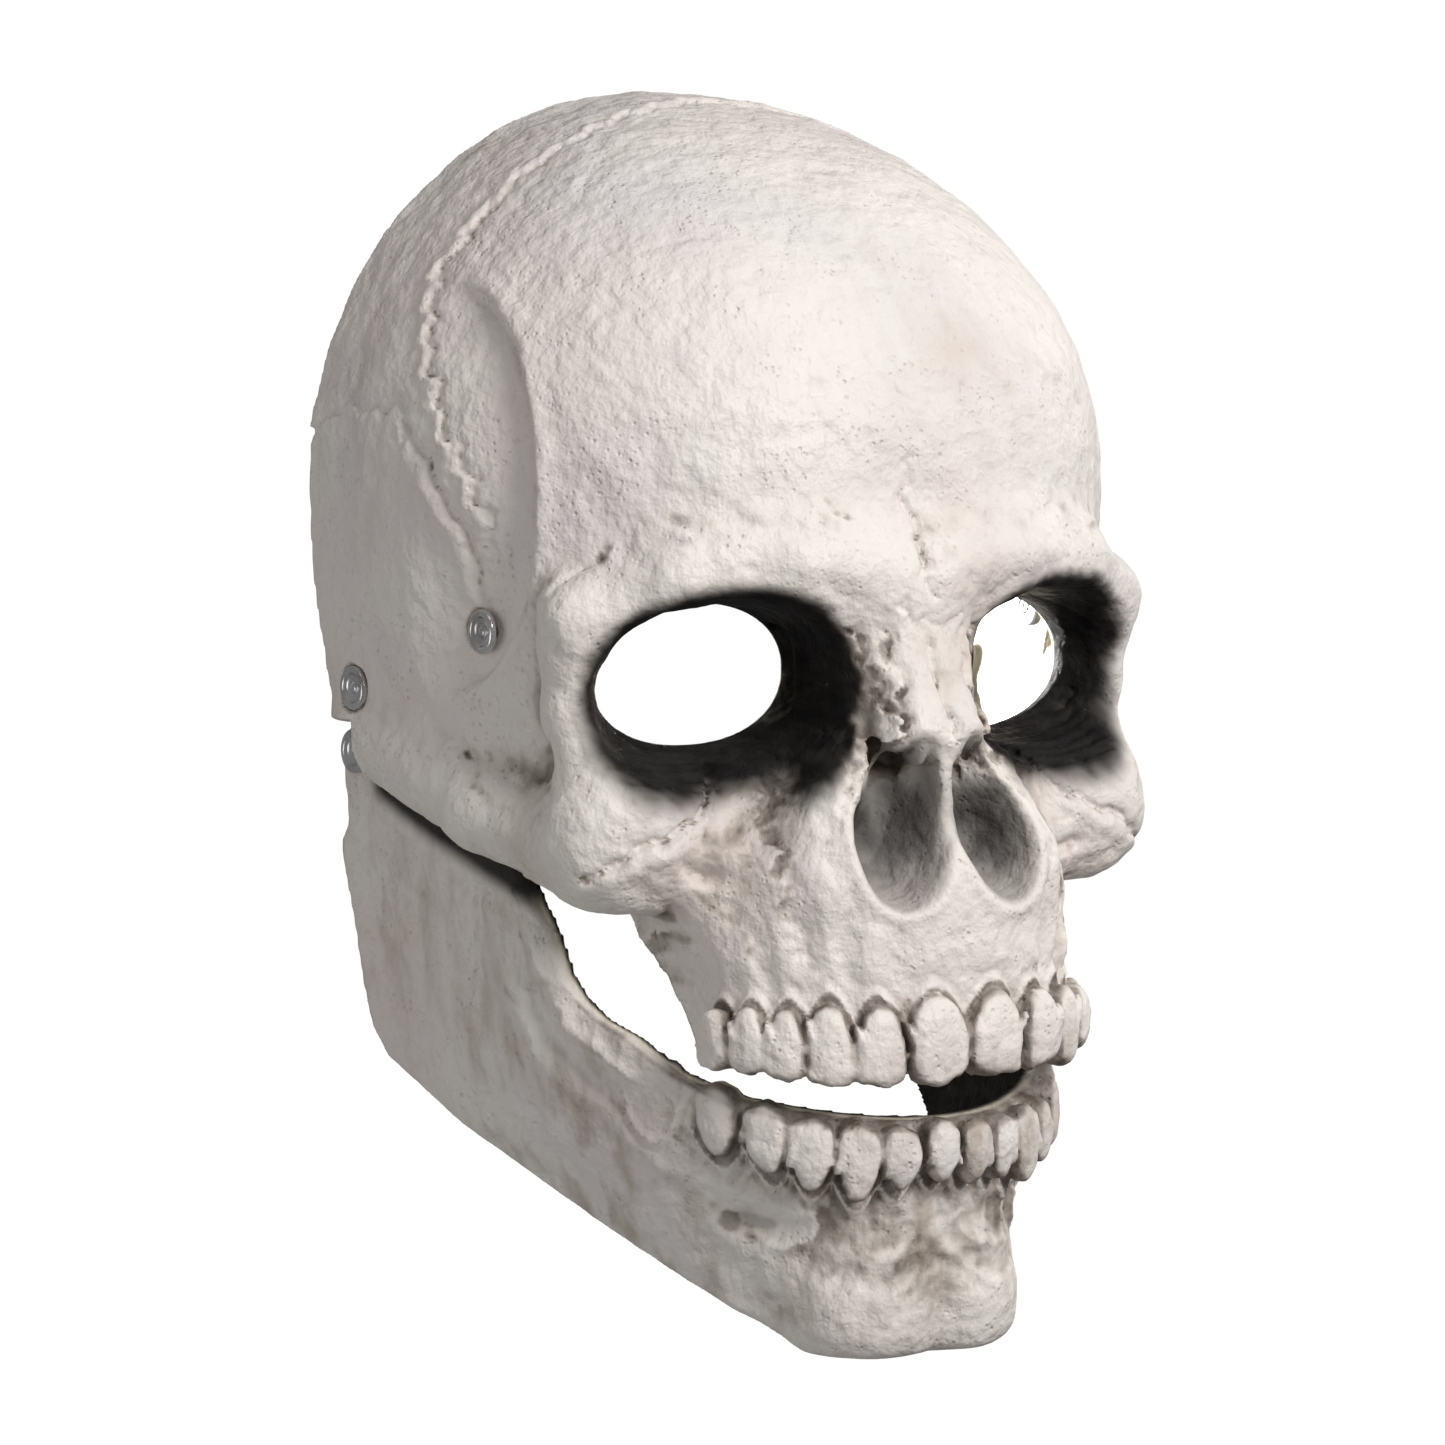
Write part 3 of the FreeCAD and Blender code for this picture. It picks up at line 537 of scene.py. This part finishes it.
def bore(q, snap, seated):
    """The hole for a snap's post, with the flat seat that its cap rests on."""
    hole = np.maximum(around(q, snap) - POST_RADIUS, 60.0 - q[0])
    if not seated:
        return hole
    seat = np.maximum(around(q, snap) - snap["radius"] - 0.3, snap["outer"] - CAP_HEIGHT - q[0])
    return np.minimum(hole, seat)


def boss(q, snap):
    """The round pad of latex that stands the arch snap off the temple wall."""
    low, high = snap["inner"] + 2.5, snap["outer"] - CAP_HEIGHT - 0.4
    return np.maximum(around(q, snap) - 5.8, np.maximum(low - q[0], q[0] - high))


# ---------------------------------------------------------------- meshing

def sculpt(field, low, high, voxel):
    """The surface of a field inside a box, as millimetre points and quads facing outward.

    Only blocks near the surface are worked out, and blocks deep inside are filled."""
    block = 8
    low, high = np.array(low, float), np.array(high, float)
    count = np.ceil((high - low) / (voxel * block)).astype(int)
    cells = np.stack(np.meshgrid(*[np.arange(k) for k in count], indexing="ij"), -1).reshape(-1, 3)
    middle = low + (cells + 0.5) * block * voxel
    outside = field([middle[:, k].copy() for k in range(3)])
    near = np.abs(outside) < 0.5 * block * voxel * math.sqrt(3) * 1.35 + voxel
    band = voxel * 3
    grid = openvdb.FloatGrid(band)
    for cell in cells[~near & (outside < 0)]:
        start = cell * block
        grid.fill(tuple(int(v) for v in start), tuple(int(v) for v in start + block - 1), -band, False)
    inside = np.stack(np.meshgrid(*[np.arange(block)] * 3, indexing="ij"), -1).reshape(-1, 3)
    cells = cells[near]
    batch = 500
    for first in range(0, len(cells), batch):
        chosen = cells[first:first + batch]
        places = low + (chosen[:, None, :] * block + inside[None]).reshape(-1, 3) * voxel
        values = field([places[:, k].copy() for k in range(3)])
        values = np.clip(values, -band, band).astype(np.float32).reshape(-1, block, block, block)
        for cell, value in zip(chosen, values):
            grid.copyFromArray(np.ascontiguousarray(value), ijk=tuple(int(v) for v in cell * block))
    points, quads = grid.convertToQuads(isovalue=0)
    points = low + points * voxel
    a, b, c = [points[quads[:, k]] for k in range(3)]
    outward = field(list((points[quads[:, 0]] + 0.3 * unit(np.cross(b - a, c - b))).T.copy()))
    if np.mean(outward) < 0:
        quads = quads[:, ::-1]
    return points, quads


def unit(vectors):
    return vectors / (np.linalg.norm(vectors, axis=1, keepdims=True) + 1e-12)


def mesh_piece(name, points, faces, material, body, nodes):
    """A smooth-shaded piece from millimetre points, standing for its CAD nodes."""
    mesh = bpy.data.meshes.new(name)
    corners = faces.shape[1]
    mesh.vertices.add(len(points))
    mesh.vertices.foreach_set("co", (points * MM).astype(np.float32).ravel())
    mesh.loops.add(faces.size)
    mesh.loops.foreach_set("vertex_index", faces.astype(np.int32).ravel())
    mesh.polygons.add(len(faces))
    mesh.polygons.foreach_set("loop_start", np.arange(0, faces.size, corners, dtype=np.int32))
    mesh.polygons.foreach_set("use_smooth", np.ones(len(faces), bool))
    mesh.update(calc_edges=True)
    mesh.validate()
    mesh.materials.append(material)
    piece = bpy.data.objects.new(name, mesh)
    bpy.context.scene.collection.objects.link(piece)
    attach(piece, body)
    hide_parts(*nodes)
    return piece


def normals_of(piece):
    values = np.zeros(len(piece.data.vertices) * 3, np.float32)
    piece.data.vertex_normals.foreach_get("vector", values)
    return values.reshape(-1, 3)


def painted(piece, name, values):
    """Store one number for every vertex, for the material to read."""
    layer = piece.data.attributes.new(name, "FLOAT", "POINT")
    layer.data.foreach_set("value", np.clip(values, 0.0, 1.0).astype(np.float32))


def hollowness(field, points, normals, reach):
    """How shut in each surface point is: 0 in the open, 1 in a deep crevice."""
    ahead = (points + normals * reach).T.copy()
    return np.clip(1.0 - field(list(ahead)) / reach, 0.0, 1.0)


def paint_shell(piece, points, field, outer, ink_and_shade):
    """Crevice wash with painted shade in the hollows, raw latex, and black paint with painted shade, for
    one of the two shells.
    """
    normals = normals_of(piece)
    fine = hollowness(field, points, normals, 1.3)
    broad = hollowness(field, points, normals, 5.0)
    # The wash darkens each crevice by how shut in it is: partly the brown wash of the real paint job,
    # partly painted shade where the hollow would fall in shadow.
    painted(piece, "wash_and_shade", 1.0 * ramp(0.05, 0.6, fine) + 0.36 * ramp(0.12, 0.8, broad))
    cloud = list(points.T.copy())
    painted(piece, "raw", ramp(0.9, 1.7, -outer(cloud)))
    lower, rearward = ramp(30.0, -60.0, points[:, 2]), ramp(-60.0, -20.0, points[:, 1])
    painted(piece, "age", 0.10 + 0.60 * lower + 0.2 * rearward)
    painted(piece, "ink_and_shade", ink_and_shade(cloud))


def upper_outer(p):
    q = folded(p)
    return skull_relief(skull_form(q), p, q)


def jaw_outer(p):
    q = folded(p)
    return jaw_relief(jaw_form(q), p, q)


def upper_ink_and_shade(p):
    """Black paint in the eye sockets and inside the mouth, and grey paint in the nose with painted shade
    deeper in.
    """
    q = folded(p)
    form = skull_form(q)
    rough = 0.35 * ripples(p, 11.0, 11) + 0.2 * ripples(p, 4.0, 12)
    soft = 1.6 + (2.0 + 2.4 * ramp(14.0, -6.0, q[2])) * ramp(14.0, 30.0, q[0])
    socket = 1 - ramp(1.0, 1.0 + soft, socket_wall(q) + rough)
    socket = socket * ramp(-52.0, -60.0, q[1]) * ramp(-2.6, -2.0, form)
    # Painted shade in the nose: the grey paint darkens deeper in and towards the top of each opening.
    shade = ramp(-111.5, -101.0, q[1] + 2.0 * rough) * ramp(-33.0, -20.0, q[2] + 3.0 * rough)
    nose = ramp(1.6, -0.6, nose_cavity(q)) * (0.42 + 0.54 * shade) * (q[1] < -90)
    mouth = ramp(-1.6, -2.4, form) * ramp(-26.0, -36.0, q[2])
    return np.maximum(np.maximum(socket, nose), mouth)


def jaw_ink_and_shade(p):
    q = folded(p)
    inside = ramp(-1.6, -2.4, jaw_form(q)) * ramp(-2.0, -8.0, q[1])
    # Painted shade and black airbrush: the jaw's outer face is painted almost black just under the cheek
    # arch's edge, where the arch shades it at rest.
    airbrush_and_shade_under_arch = ramp(-7.0, -2.0, q[2] - cheek_edge(q[1])) * ramp(-8.0, -14.0, q[1])
    return np.maximum(inside, 0.97 * airbrush_and_shade_under_arch)


# ---------------------------------------------------------------- materials

class Nodes:
    """A short way to wire a material's node tree."""

    def __init__(self, name):
        self.material = bpy.data.materials.new(name)
        self.material.use_nodes = True
        self.tree = self.material.node_tree
        self.shader = self.tree.nodes["Principled BSDF"]
        self.place = self.add("ShaderNodeTexCoord").outputs["Object"]

    def add(self, kind, **settings):
        node = self.tree.nodes.new(kind)
        for key, value in settings.items():
            setattr(node, key, value)
        return node

    def link(self, source, target):
        self.tree.links.new(source, target)

    def attribute(self, name):
        return self.add("ShaderNodeAttribute", attribute_name=name).outputs["Fac"]

    def noise(self, scale, detail=3.0, stretch=(1, 1, 1)):
        mapping = self.add("ShaderNodeMapping")
        mapping.inputs["Scale"].default_value = stretch
        self.link(self.place, mapping.inputs["Vector"])
        node = self.add("ShaderNodeTexNoise")
        node.inputs["Scale"].default_value = scale
        node.inputs["Detail"].default_value = detail
        self.link(mapping.outputs["Vector"], node.inputs["Vector"])
        return node.outputs["Fac"]

    def cells(self, scale):
        node = self.add("ShaderNodeTexVoronoi")
        node.inputs["Scale"].default_value = scale
        self.link(self.place, node.inputs["Vector"])
        return node.outputs["Distance"]

    def levels(self, value, low, high, to_low=0.0, to_high=1.0):
        node = self.add("ShaderNodeMapRange")
        node.inputs["From Min"].default_value = low
        node.inputs["From Max"].default_value = high
        node.inputs["To Min"].default_value = to_low
        node.inputs["To Max"].default_value = to_high
        self.link(value, node.inputs["Value"])
        return node.outputs["Result"]

    def maths(self, operation, a, b):
        node = self.add("ShaderNodeMath", operation=operation)
        for socket, value in zip(node.inputs, (a, b)):
            if isinstance(value, (int, float)):
                socket.default_value = value
            else:
                self.link(value, socket)
        return node.outputs[0]

    def mix(self, factor, first, second, blend="MIX"):
        """Blend two colours, each a wire or a plain (r, g, b)."""
        node = self.add("ShaderNodeMix", data_type="RGBA", blend_type=blend)
        factor_in, a, b = node.inputs[0], node.inputs[6], node.inputs[7]
        if isinstance(factor, (int, float)):
            factor_in.default_value = factor
        else:
            self.link(factor, factor_in)
        for socket, value in ((a, first), (b, second)):
            if isinstance(value, tuple):
                socket.default_value = (*value, 1.0)
            else:
                self.link(value, socket)
        return node.outputs[2]

    def bump(self, height, distance, strength=1.0, below=None):
        node = self.add("ShaderNodeBump")
        node.inputs["Distance"].default_value = distance
        node.inputs["Strength"].default_value = strength
        self.link(height, node.inputs["Height"])
        if below is not None:
            self.link(below, node.inputs["Normal"])
        return node.outputs["Normal"]

    def finish(self, colour, roughness, normal=None, metallic=0.0):
        if isinstance(colour, tuple):
            self.shader.inputs["Base Color"].default_value = (*colour, 1.0)
        else:
            self.link(colour, self.shader.inputs["Base Color"])
        if isinstance(roughness, (int, float)):
            self.shader.inputs["Roughness"].default_value = roughness
        else:
            self.link(roughness, self.shader.inputs["Roughness"])
        if normal is not None:
            self.link(normal, self.shader.inputs["Normal"])
        self.shader.inputs["Metallic"].default_value = metallic
        return self.material


BONE = (0.82, 0.775, 0.725)
BONE_PINK = (0.79, 0.715, 0.69)
BONE_BLUE = (0.70, 0.675, 0.69)
STAIN = (0.62, 0.46, 0.30)
# A dark brown for the crevice wash, which also paints shade into the hollows.
WASH_AND_SHADE_DARK = (0.105, 0.078, 0.058)
# Black paint, also used as painted shade in the nose and under the cheek arch.
BLACK_PAINT_AND_SHADE = (0.010, 0.009, 0.009)
RAW_LATEX = (0.83, 0.76, 0.62)


def bone_latex():
    """Painted latex: mottled off-white, brown wash and painted shade in the crevices, black airbrushing
    with painted shade in the nose and under the cheek arch, raw inside.
    """
    n = Nodes("painted_latex_bone")
    colour = n.mix(n.levels(n.noise(26), 0.40, 0.68), BONE, BONE_PINK)
    colour = n.mix(n.levels(n.noise(17, 2), 0.50, 0.72, 0.0, 0.65), colour, BONE_BLUE)
    patches = n.levels(n.noise(34, 4), 0.54, 0.74)
    blotches = n.maths("MULTIPLY", patches, n.levels(n.noise(9, 2), 0.45, 0.6))
    colour = n.mix(n.maths("MULTIPLY", blotches, 0.42), colour, STAIN)
    pits = n.levels(n.cells(620), 0.0, 0.32, 1.0, 0.0)
    pits = n.maths("MULTIPLY", pits, n.levels(n.noise(120, 2), 0.48, 0.62))
    streaks = n.levels(n.noise(150, 4, (1, 1, 0.3)), 0.47, 0.66)
    streaks = n.maths("MULTIPLY", streaks, n.levels(n.noise(16, 2), 0.40, 0.62))
    colour = n.mix(n.maths("MULTIPLY", streaks, n.attribute("age")), colour, (0.36, 0.28, 0.21))
    # Crevice darkening: the real brown wash together with painted shade in the hollows.
    wash_and_shade = n.attribute("wash_and_shade")
    broken = n.levels(n.noise(210, 4), 0.30, 0.75, 0.7, 1.15)
    wash_shade_and_pits = n.maths("MULTIPLY", wash_and_shade, broken)
    wash_shade_and_pits = n.maths("ADD", wash_shade_and_pits, n.maths("MULTIPLY", pits, 0.16))
    colour = n.mix(n.maths("MULTIPLY", n.levels(wash_shade_and_pits, 0.02, 0.45), 0.45), colour, (0.50, 0.43, 0.37))
    colour = n.mix(n.levels(wash_shade_and_pits, 0.35, 1.15), colour, WASH_AND_SHADE_DARK)
    raw = n.attribute("raw")
    cream = n.mix(n.levels(n.noise(60), 0.35, 0.7), RAW_LATEX, (0.86, 0.80, 0.69))
    colour = n.mix(raw, colour, cream)
    ink_and_shade = n.attribute("ink_and_shade")
    worn = n.levels(n.noise(150, 5, (1, 1, 2.5)), 0.35, 0.8, 1.0, 0.975)
    # The black paint, which also stands for painted shade in the nose and under the cheek arch.
    colour = n.mix(n.maths("MULTIPLY", ink_and_shade, worn), colour, BLACK_PAINT_AND_SHADE)
    pebbles = n.bump(n.noise(330, 3), 0.0013, 0.75)
    strokes = n.bump(n.noise(180, 3, (1, 1, 0.45)), 0.0014, 0.7, pebbles)
    pores = n.bump(pits, -0.0006, 0.6, strokes)
    roughness = n.levels(n.noise(70, 3), 0.3, 0.7, 0.47, 0.62)
    roughness = n.maths("ADD", roughness, n.maths("MULTIPLY", raw, 0.12))
    roughness = n.maths("ADD", roughness, n.maths("MULTIPLY", ink_and_shade, 0.2))
    n.link(n.levels(ink_and_shade, 0.0, 1.0, 0.45, 0.12), n.shader.inputs["Specular IOR Level"])
    return n.finish(colour, roughness, pores)


def snap_metal():
    n = Nodes("snap_metal")
    scuffs = n.noise(900, 2, (1, 1, 4))
    colour = n.mix(n.levels(n.noise(140), 0.4, 0.7), (0.72, 0.72, 0.74), (0.46, 0.44, 0.43))
    return n.finish(colour, n.levels(scuffs, 0.3, 0.7, 0.14, 0.34), n.bump(scuffs, 0.00004, 0.4), 1.0)


def washer_metal():
    n = Nodes("washer_metal")
    brushed = n.noise(1500, 2, (8, 1, 1))
    roughness = n.levels(brushed, 0.3, 0.7, 0.26, 0.48)
    return n.finish((0.58, 0.58, 0.60), roughness, n.bump(brushed, 0.00005, 0.5), 1.0)


def elastic():
    """Knitted elastic webbing: off-white yarn with painted shade in the gaps between the ribs."""
    n = Nodes("elastic_webbing")
    yarn = n.noise(2400, 2)
    colour = n.mix(n.levels(yarn, 0.35, 0.65), (0.55, 0.52, 0.46), (0.80, 0.77, 0.70))
    # Darker where the webbing is shut in: painted shade between the ribs.
    colour = n.mix(n.maths("MULTIPLY", n.attribute("gap"), 0.7), colour, (0.22, 0.20, 0.17))
    n.shader.inputs["Sheen Weight"].default_value = 0.25
    return n.finish(colour, 0.86, n.bump(yarn, 0.0002, 0.6))


def foam():
    n = Nodes("foam")
    pores = n.levels(n.cells(900), 0.05, 0.45, 1.0, 0.0)
    colour = n.mix(n.maths("MULTIPLY", pores, 0.7), (0.60, 0.57, 0.50), (0.24, 0.22, 0.18))
    return n.finish(colour, 0.92, n.bump(pores, -0.0006, 0.9))


# ---------------------------------------------------------------- snaps, straps and pads

def lathe(profile, turns):
    """Points and quads of a (radius, height) profile spun about +Z, its ends on the axis."""
    angle = np.arange(turns) * 2 * math.pi / turns
    rings = [np.stack([r * np.cos(angle), r * np.sin(angle), np.full(turns, h)], 1) for r, h in profile]
    faces = []
    for ring in range(len(profile) - 1):
        a = ring * turns + np.arange(turns)
        b = ring * turns + (np.arange(turns) + 1) % turns
        faces.append(np.stack([a, b, b + turns, a + turns], 1))
    return np.concatenate(rings), np.concatenate(faces)


def rounded(profile, times=2):
    """A closed-in version of a profile whose corners are cut again and again."""
    for _ in range(times):
        out = [profile[0]]
        for (r0, h0), (r1, h1) in zip(profile, profile[1:]):
            out.append((0.75 * r0 + 0.25 * r1, 0.75 * h0 + 0.25 * h1))
            out.append((0.25 * r0 + 0.75 * r1, 0.25 * h0 + 0.75 * h1))
        out.append(profile[-1])
        profile = out
    return profile


def set_on_side(points, side, reach, y, z):
    """Turn +Z out to one side of the head and move to a reach and a place in the side view."""
    x = side * (reach + points[:, 2])
    return np.stack([x, y + points[:, 0], z + side * points[:, 1]], 1)


def snap_cap(name, side, body, material):
    """A dished cap with a rolled rim and a centre button, on its post."""
    snap = snap_place(name)
    seat = snap["outer"] - CAP_HEIGHT
    length = seat - snap["inner"]
    r = snap["radius"]
    profile = [(0.0, 1.05), (0.75, 1.0), (1.05, 0.7), (1.15, 0.4), (1.9, 0.4), (2.7, 0.65), (3.0, 1.1)]
    profile += [(3.35, CAP_HEIGHT), (r - 0.4, CAP_HEIGHT), (r, 1.05), (r, 0.2), (r - 0.3, 0.0)]
    profile += [(POST_RADIUS + 0.3, 0.0), (POST_RADIUS, -0.3), (POST_RADIUS, -length + 0.3)]
    profile += [(POST_RADIUS - 0.3, -length), (0.5, -length), (0.0, -length + 0.3)]
    points, faces = lathe(rounded(profile), 72)
    points = set_on_side(points, side, seat, snap["y"], snap["z"])
    return mesh_piece(name + "_pressed", points, faces, material, body, [name])


def snap_washer(name, side, body, material):
    """A pressed ring with a raised collar and a rolled edge."""
    snap = snap_place(name)
    thick = snap["outer"] - snap["inner"]
    r, hole = snap["radius"], POST_RADIUS
    profile = [(hole, 0.15), (hole + 0.15, 0.0), (r - 0.25, 0.0), (r, 0.2)]
    profile += [(r, thick - 0.25), (r - 0.2, thick), (r - 0.7, thick), (r - 1.0, thick - 0.3)]
    profile += [(hole + 0.9, thick - 0.3), (hole + 0.6, thick), (hole + 0.15, thick)]
    profile = rounded(profile + [(hole, thick - 0.15)], 1)
    points, faces = lathe(profile + profile[:1], 64)
    points = set_on_side(points, side, snap["inner"], snap["y"], snap["z"])
    return mesh_piece(name + "_pressed", points, faces, material, body, [name])


def knit(across, along):
    """Height of knitted elastic: long ribs crossed by finer rows of stitches."""
    ribs = np.cos(across * 2 * math.pi / 1.5)
    rows = np.cos(along * 2 * math.pi / 1.1 + math.pi * (np.floor(across / 0.75) % 2))
    return 0.09 * ribs + 0.06 * rows


STRAP_WIDTH = 18.0
STRAP_THICK = 1.4
STRAP_RISE = 15.0


def strap_frame(p):
    """Points in the strap's own plane: its temple snaps on the X axis, its width along Z."""
    start = (0.0, TEMPLE_SNAP["y"], TEMPLE_SNAP["z"])
    return turned([p[0], p[1] - start[1], p[2] - start[2]], (0, 0, 0), SIDE, STRAP_RISE)


def strap_ring(p):
    """The points in the strap's plane, and their distance outside its rounded middle line."""
    low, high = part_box("head_strap")
    side = (high[0] - low[0]) / 2 / MM - STRAP_THICK / 2
    q = strap_frame(p)
    rear = (high[1] / MM - TEMPLE_SNAP["y"] - STRAP_WIDTH / 2 * math.sin(math.radians(STRAP_RISE)))
    rear = rear / math.cos(math.radians(STRAP_RISE)) - STRAP_THICK / 2
    bend = 9.0
    a, b = np.abs(q[0]) - side + bend, q[1] - rear + bend
    ring = np.hypot(np.maximum(a, 0), np.maximum(b, 0)) + np.minimum(np.maximum(a, b), 0) - bend
    return q, ring


def strap_field(p):
    q, ring = strap_ring(p)
    along = np.where(np.abs(ring) < 3, q[0] + q[1], 0.0)
    flat = np.abs(ring) - STRAP_THICK / 2 + 0.15 - knit(q[2], along)
    edge = np.abs(q[2]) - STRAP_WIDTH / 2 + 0.15
    d = overlap(overlap(flat, edge, 0.9), -8.0 - q[1], 0.9)
    return np.maximum(d, -bore(folded(p), TEMPLE_SNAP, False))


def tab_field(side):
    """The webbing tab between the arch snap and the jaw snap on one side."""
    low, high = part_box("jaw_tab_left")
    middle, thick = (low[0] + high[0]) / 2 / MM, (high[0] - low[0]) / MM
    radius = 5.6
    a, b = (ARCH_SNAP["y"], ARCH_SNAP["z"]), (JAW_SNAP["y"], JAW_SNAP["z"])
    length = math.dist(a, b)
    way = ((b[0] - a[0]) / length, (b[1] - a[1]) / length)

    def field(p):
        y, z = p[1] - a[0], p[2] - a[1]
        along = y * way[0] + z * way[1]
        across = z * way[0] - y * way[1]
        outline = np.hypot(across, along - np.clip(along, 0, length)) - radius
        flat = np.abs(p[0] * side - middle) - thick / 2 + 0.15 - knit(across, along)
        d = overlap(flat, outline + 0.1, 0.8)
        for end in (0, length):
            d = np.maximum(d, POST_RADIUS - np.hypot(across, along - end))
        return d

    return field


def webbing_piece(name, field, voxel, material, body, node):
    low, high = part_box(node)
    low = [v / MM - 1.5 for v in low]
    high = [v / MM + 1.5 for v in high]
    points, faces = sculpt(field, low, high, voxel)
    piece = mesh_piece(name, points, faces, material, body, [node])
    # Painted shade in the webbing's gaps, from how shut in each point is.
    painted(piece, "gap", ramp(0.05, 0.5, hollowness(field, points, normals_of(piece), 0.5)))
    return piece


def pad_field(form, node, crown):
    """A foam pad that follows the inside of a shell, thickest in the middle, with soft corners."""
    low, high = [[v / MM for v in corner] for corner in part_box(node)]
    middle = [(a + b) / 2 for a, b in zip(low, high)]
    half = [(b - a) / 2 for a, b in zip(low, high)]
    near, far = crown

    def field(p):
        inside = -form(folded(p))
        spread = sum(((p[k] - middle[k]) / half[k]) ** 2 for k in range(3)) / 2.0
        thick = (far - near) / 2 * (1.0 - 0.16 * np.clip(spread, 0, 1.4))
        layer = np.abs(inside - near - thick) - thick + 0.4
        box = np.maximum.reduce([np.abs(p[k] - middle[k]) - half[k] + 0.6 for k in range(3)])
        return overlap(layer, box, 5.0)

    return field


def pad_piece(name, form, node, crown, material, body):
    field = pad_field(form, node, crown)
    low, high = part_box(node)
    low = [v / MM - 2 for v in low]
    high = [v / MM + 2 for v in high]
    points, faces = sculpt(field, low, high, 2 * FINE_VOXEL)
    piece = mesh_piece(name, points, faces, material, body, [node])
    return piece


# ---------------------------------------------------------------- the pieces

def build_shells():
    latex = bone_latex()
    points, faces = sculpt(upper_shell, (-92, -128, -74), (92, 4, 138), VOXEL)
    upper = mesh_piece(
        "latex_skull_upper", points, faces, latex, "skull", ["upper_skull_shell"])
    paint_shell(upper, points, upper_shell, upper_outer, upper_ink_and_shade)
    points, faces = sculpt(jaw_shell, (-84, -122, -132), (84, 4, 8), VOXEL)
    jaw = mesh_piece("latex_jaw", points, faces, latex, "jaw", ["jaw_shell"])
    paint_shell(jaw, points, jaw_shell, jaw_outer, jaw_ink_and_shade)


def build_hardware():
    chrome, steel = snap_metal(), washer_metal()
    for word, side in (("right", -1), ("left", 1)):
        for place, body in (("temple", "skull"), ("arch", "skull"), ("jaw", "jaw")):
            snap_cap("%s_snap_cap_%s" % (place, word), side, body, chrome)
            snap_washer("%s_snap_washer_%s" % (place, word), side, body, steel)


def build_soft_parts():
    webbing = elastic()
    webbing_piece("head_strap_webbing", strap_field, 1.5 * FINE_VOXEL, webbing, "skull", "head_strap")
    for word, side in (("right", -1), ("left", 1)):
        name = "jaw_tab_" + word
        webbing_piece(name + "_webbing", tab_field(side), FINE_VOXEL, webbing, "skull", name)
    stuffing = foam()
    for name in ("forehead_pad", "temple_pad_right", "temple_pad_left"):
        pad_piece(name + "_foam", skull_form, name, (3.4, 13.4), stuffing, "skull")
    pad_piece("chin_pad_foam", jaw_form, "chin_pad", (4.0, 14.0), stuffing, "jaw")


# ---------------------------------------------------------------- studio

TARGET = Vector((0.0, -0.030, 0.0))


def toward(azimuth, elevation):
    """The direction from the mask to a viewer at an azimuth and elevation in degrees."""
    a, e = math.radians(azimuth), math.radians(elevation)
    return Vector((math.sin(a) * math.cos(e), -math.cos(a) * math.cos(e), math.sin(e)))


def add_camera():
    data = bpy.data.cameras.new("camera")
    data.sensor_width = 36.0
    data.lens = 155.46
    camera = bpy.data.objects.new("camera", data)
    bpy.context.scene.collection.objects.link(camera)
    back = toward(-34, 5)
    camera.location = TARGET + back * 1.3
    camera.rotation_euler = (-back).to_track_quat("-Z", "Y").to_euler()
    bpy.context.scene.camera = camera


def lamp_at(name, place, target, across, power, colour=(1, 1, 1)):
    """A round area light at a place, facing the target."""
    data = bpy.data.lights.new(name, "AREA")
    data.shape = "DISK"
    data.size = across
    data.energy = power
    data.color = colour
    lamp = bpy.data.objects.new(name, data)
    bpy.context.scene.collection.objects.link(lamp)
    lamp.location = place
    lamp.rotation_euler = (target - place).to_track_quat("-Z", "Y").to_euler()
    return lamp


def add_light(name, azimuth, elevation, distance, *looks):
    lamp_at(name, TARGET + toward(azimuth, elevation) * distance, TARGET, *looks)


def glowing(name, strength):
    material = bpy.data.materials.new(name)
    material.use_nodes = True
    shader = material.node_tree.nodes["Principled BSDF"]
    shader.inputs["Base Color"].default_value = (0.0, 0.0, 0.0, 1.0)
    shader.inputs["Emission Color"].default_value = (1.0, 1.0, 1.0, 1.0)
    shader.inputs["Emission Strength"].default_value = strength
    return material


def add_stage():
    """A white room wall that runs down into a white floor, well below the mask."""
    radius, floor, rise = 4.0, -0.5, 0.9
    profile = [(0.0, floor), (radius - rise, floor)]
    for k in range(1, 9):
        turn = math.pi / 2 * k / 8
        profile.append((radius - rise + rise * math.sin(turn), floor + rise - rise * math.cos(turn)))
    profile += [(radius, 3.0), (radius * 0.6, 4.5), (0.0, 4.8)]
    points, faces = lathe(profile, 96)
    mesh = bpy.data.meshes.new("studio")
    mesh.from_pydata(points.tolist(), [], faces.tolist())
    mesh.materials.append(glowing("studio_white", 1.0))
    room = bpy.data.objects.new("studio", mesh)
    room.visible_diffuse = False
    room.visible_glossy = False
    room.visible_shadow = False
    bpy.context.scene.collection.objects.link(room)
    add_light("key", 10, 28, 1.1, 0.55, 9.6, (1.0, 0.99, 0.975))
    add_light("crown", -20, 75, 1.1, 0.6, 1.3)
    add_light("side_fill", -85, -14, 1.3, 0.9, 2.7)
    far_wall = Vector((0.068, -0.014, 0.014))
    inner = lamp_at("inside", Vector((-0.020, 0.100, 0.030)), far_wall, 0.05, 0.7)
    inner.data.spread = math.radians(45)
    inner.visible_camera = False
    add_light("far_rim", 100, 20, 1.2, 0.6, 2.5)
    world = bpy.data.worlds.new("studio_air")
    world.use_nodes = True
    world.node_tree.nodes["Background"].inputs["Color"].default_value = (1, 1, 1, 1)
    world.node_tree.nodes["Background"].inputs["Strength"].default_value = 0.22
    bpy.context.scene.world = world
    bpy.context.scene.view_settings.view_transform = "Standard"


build_shells()
build_hardware()
build_soft_parts()
add_camera()
add_stage()
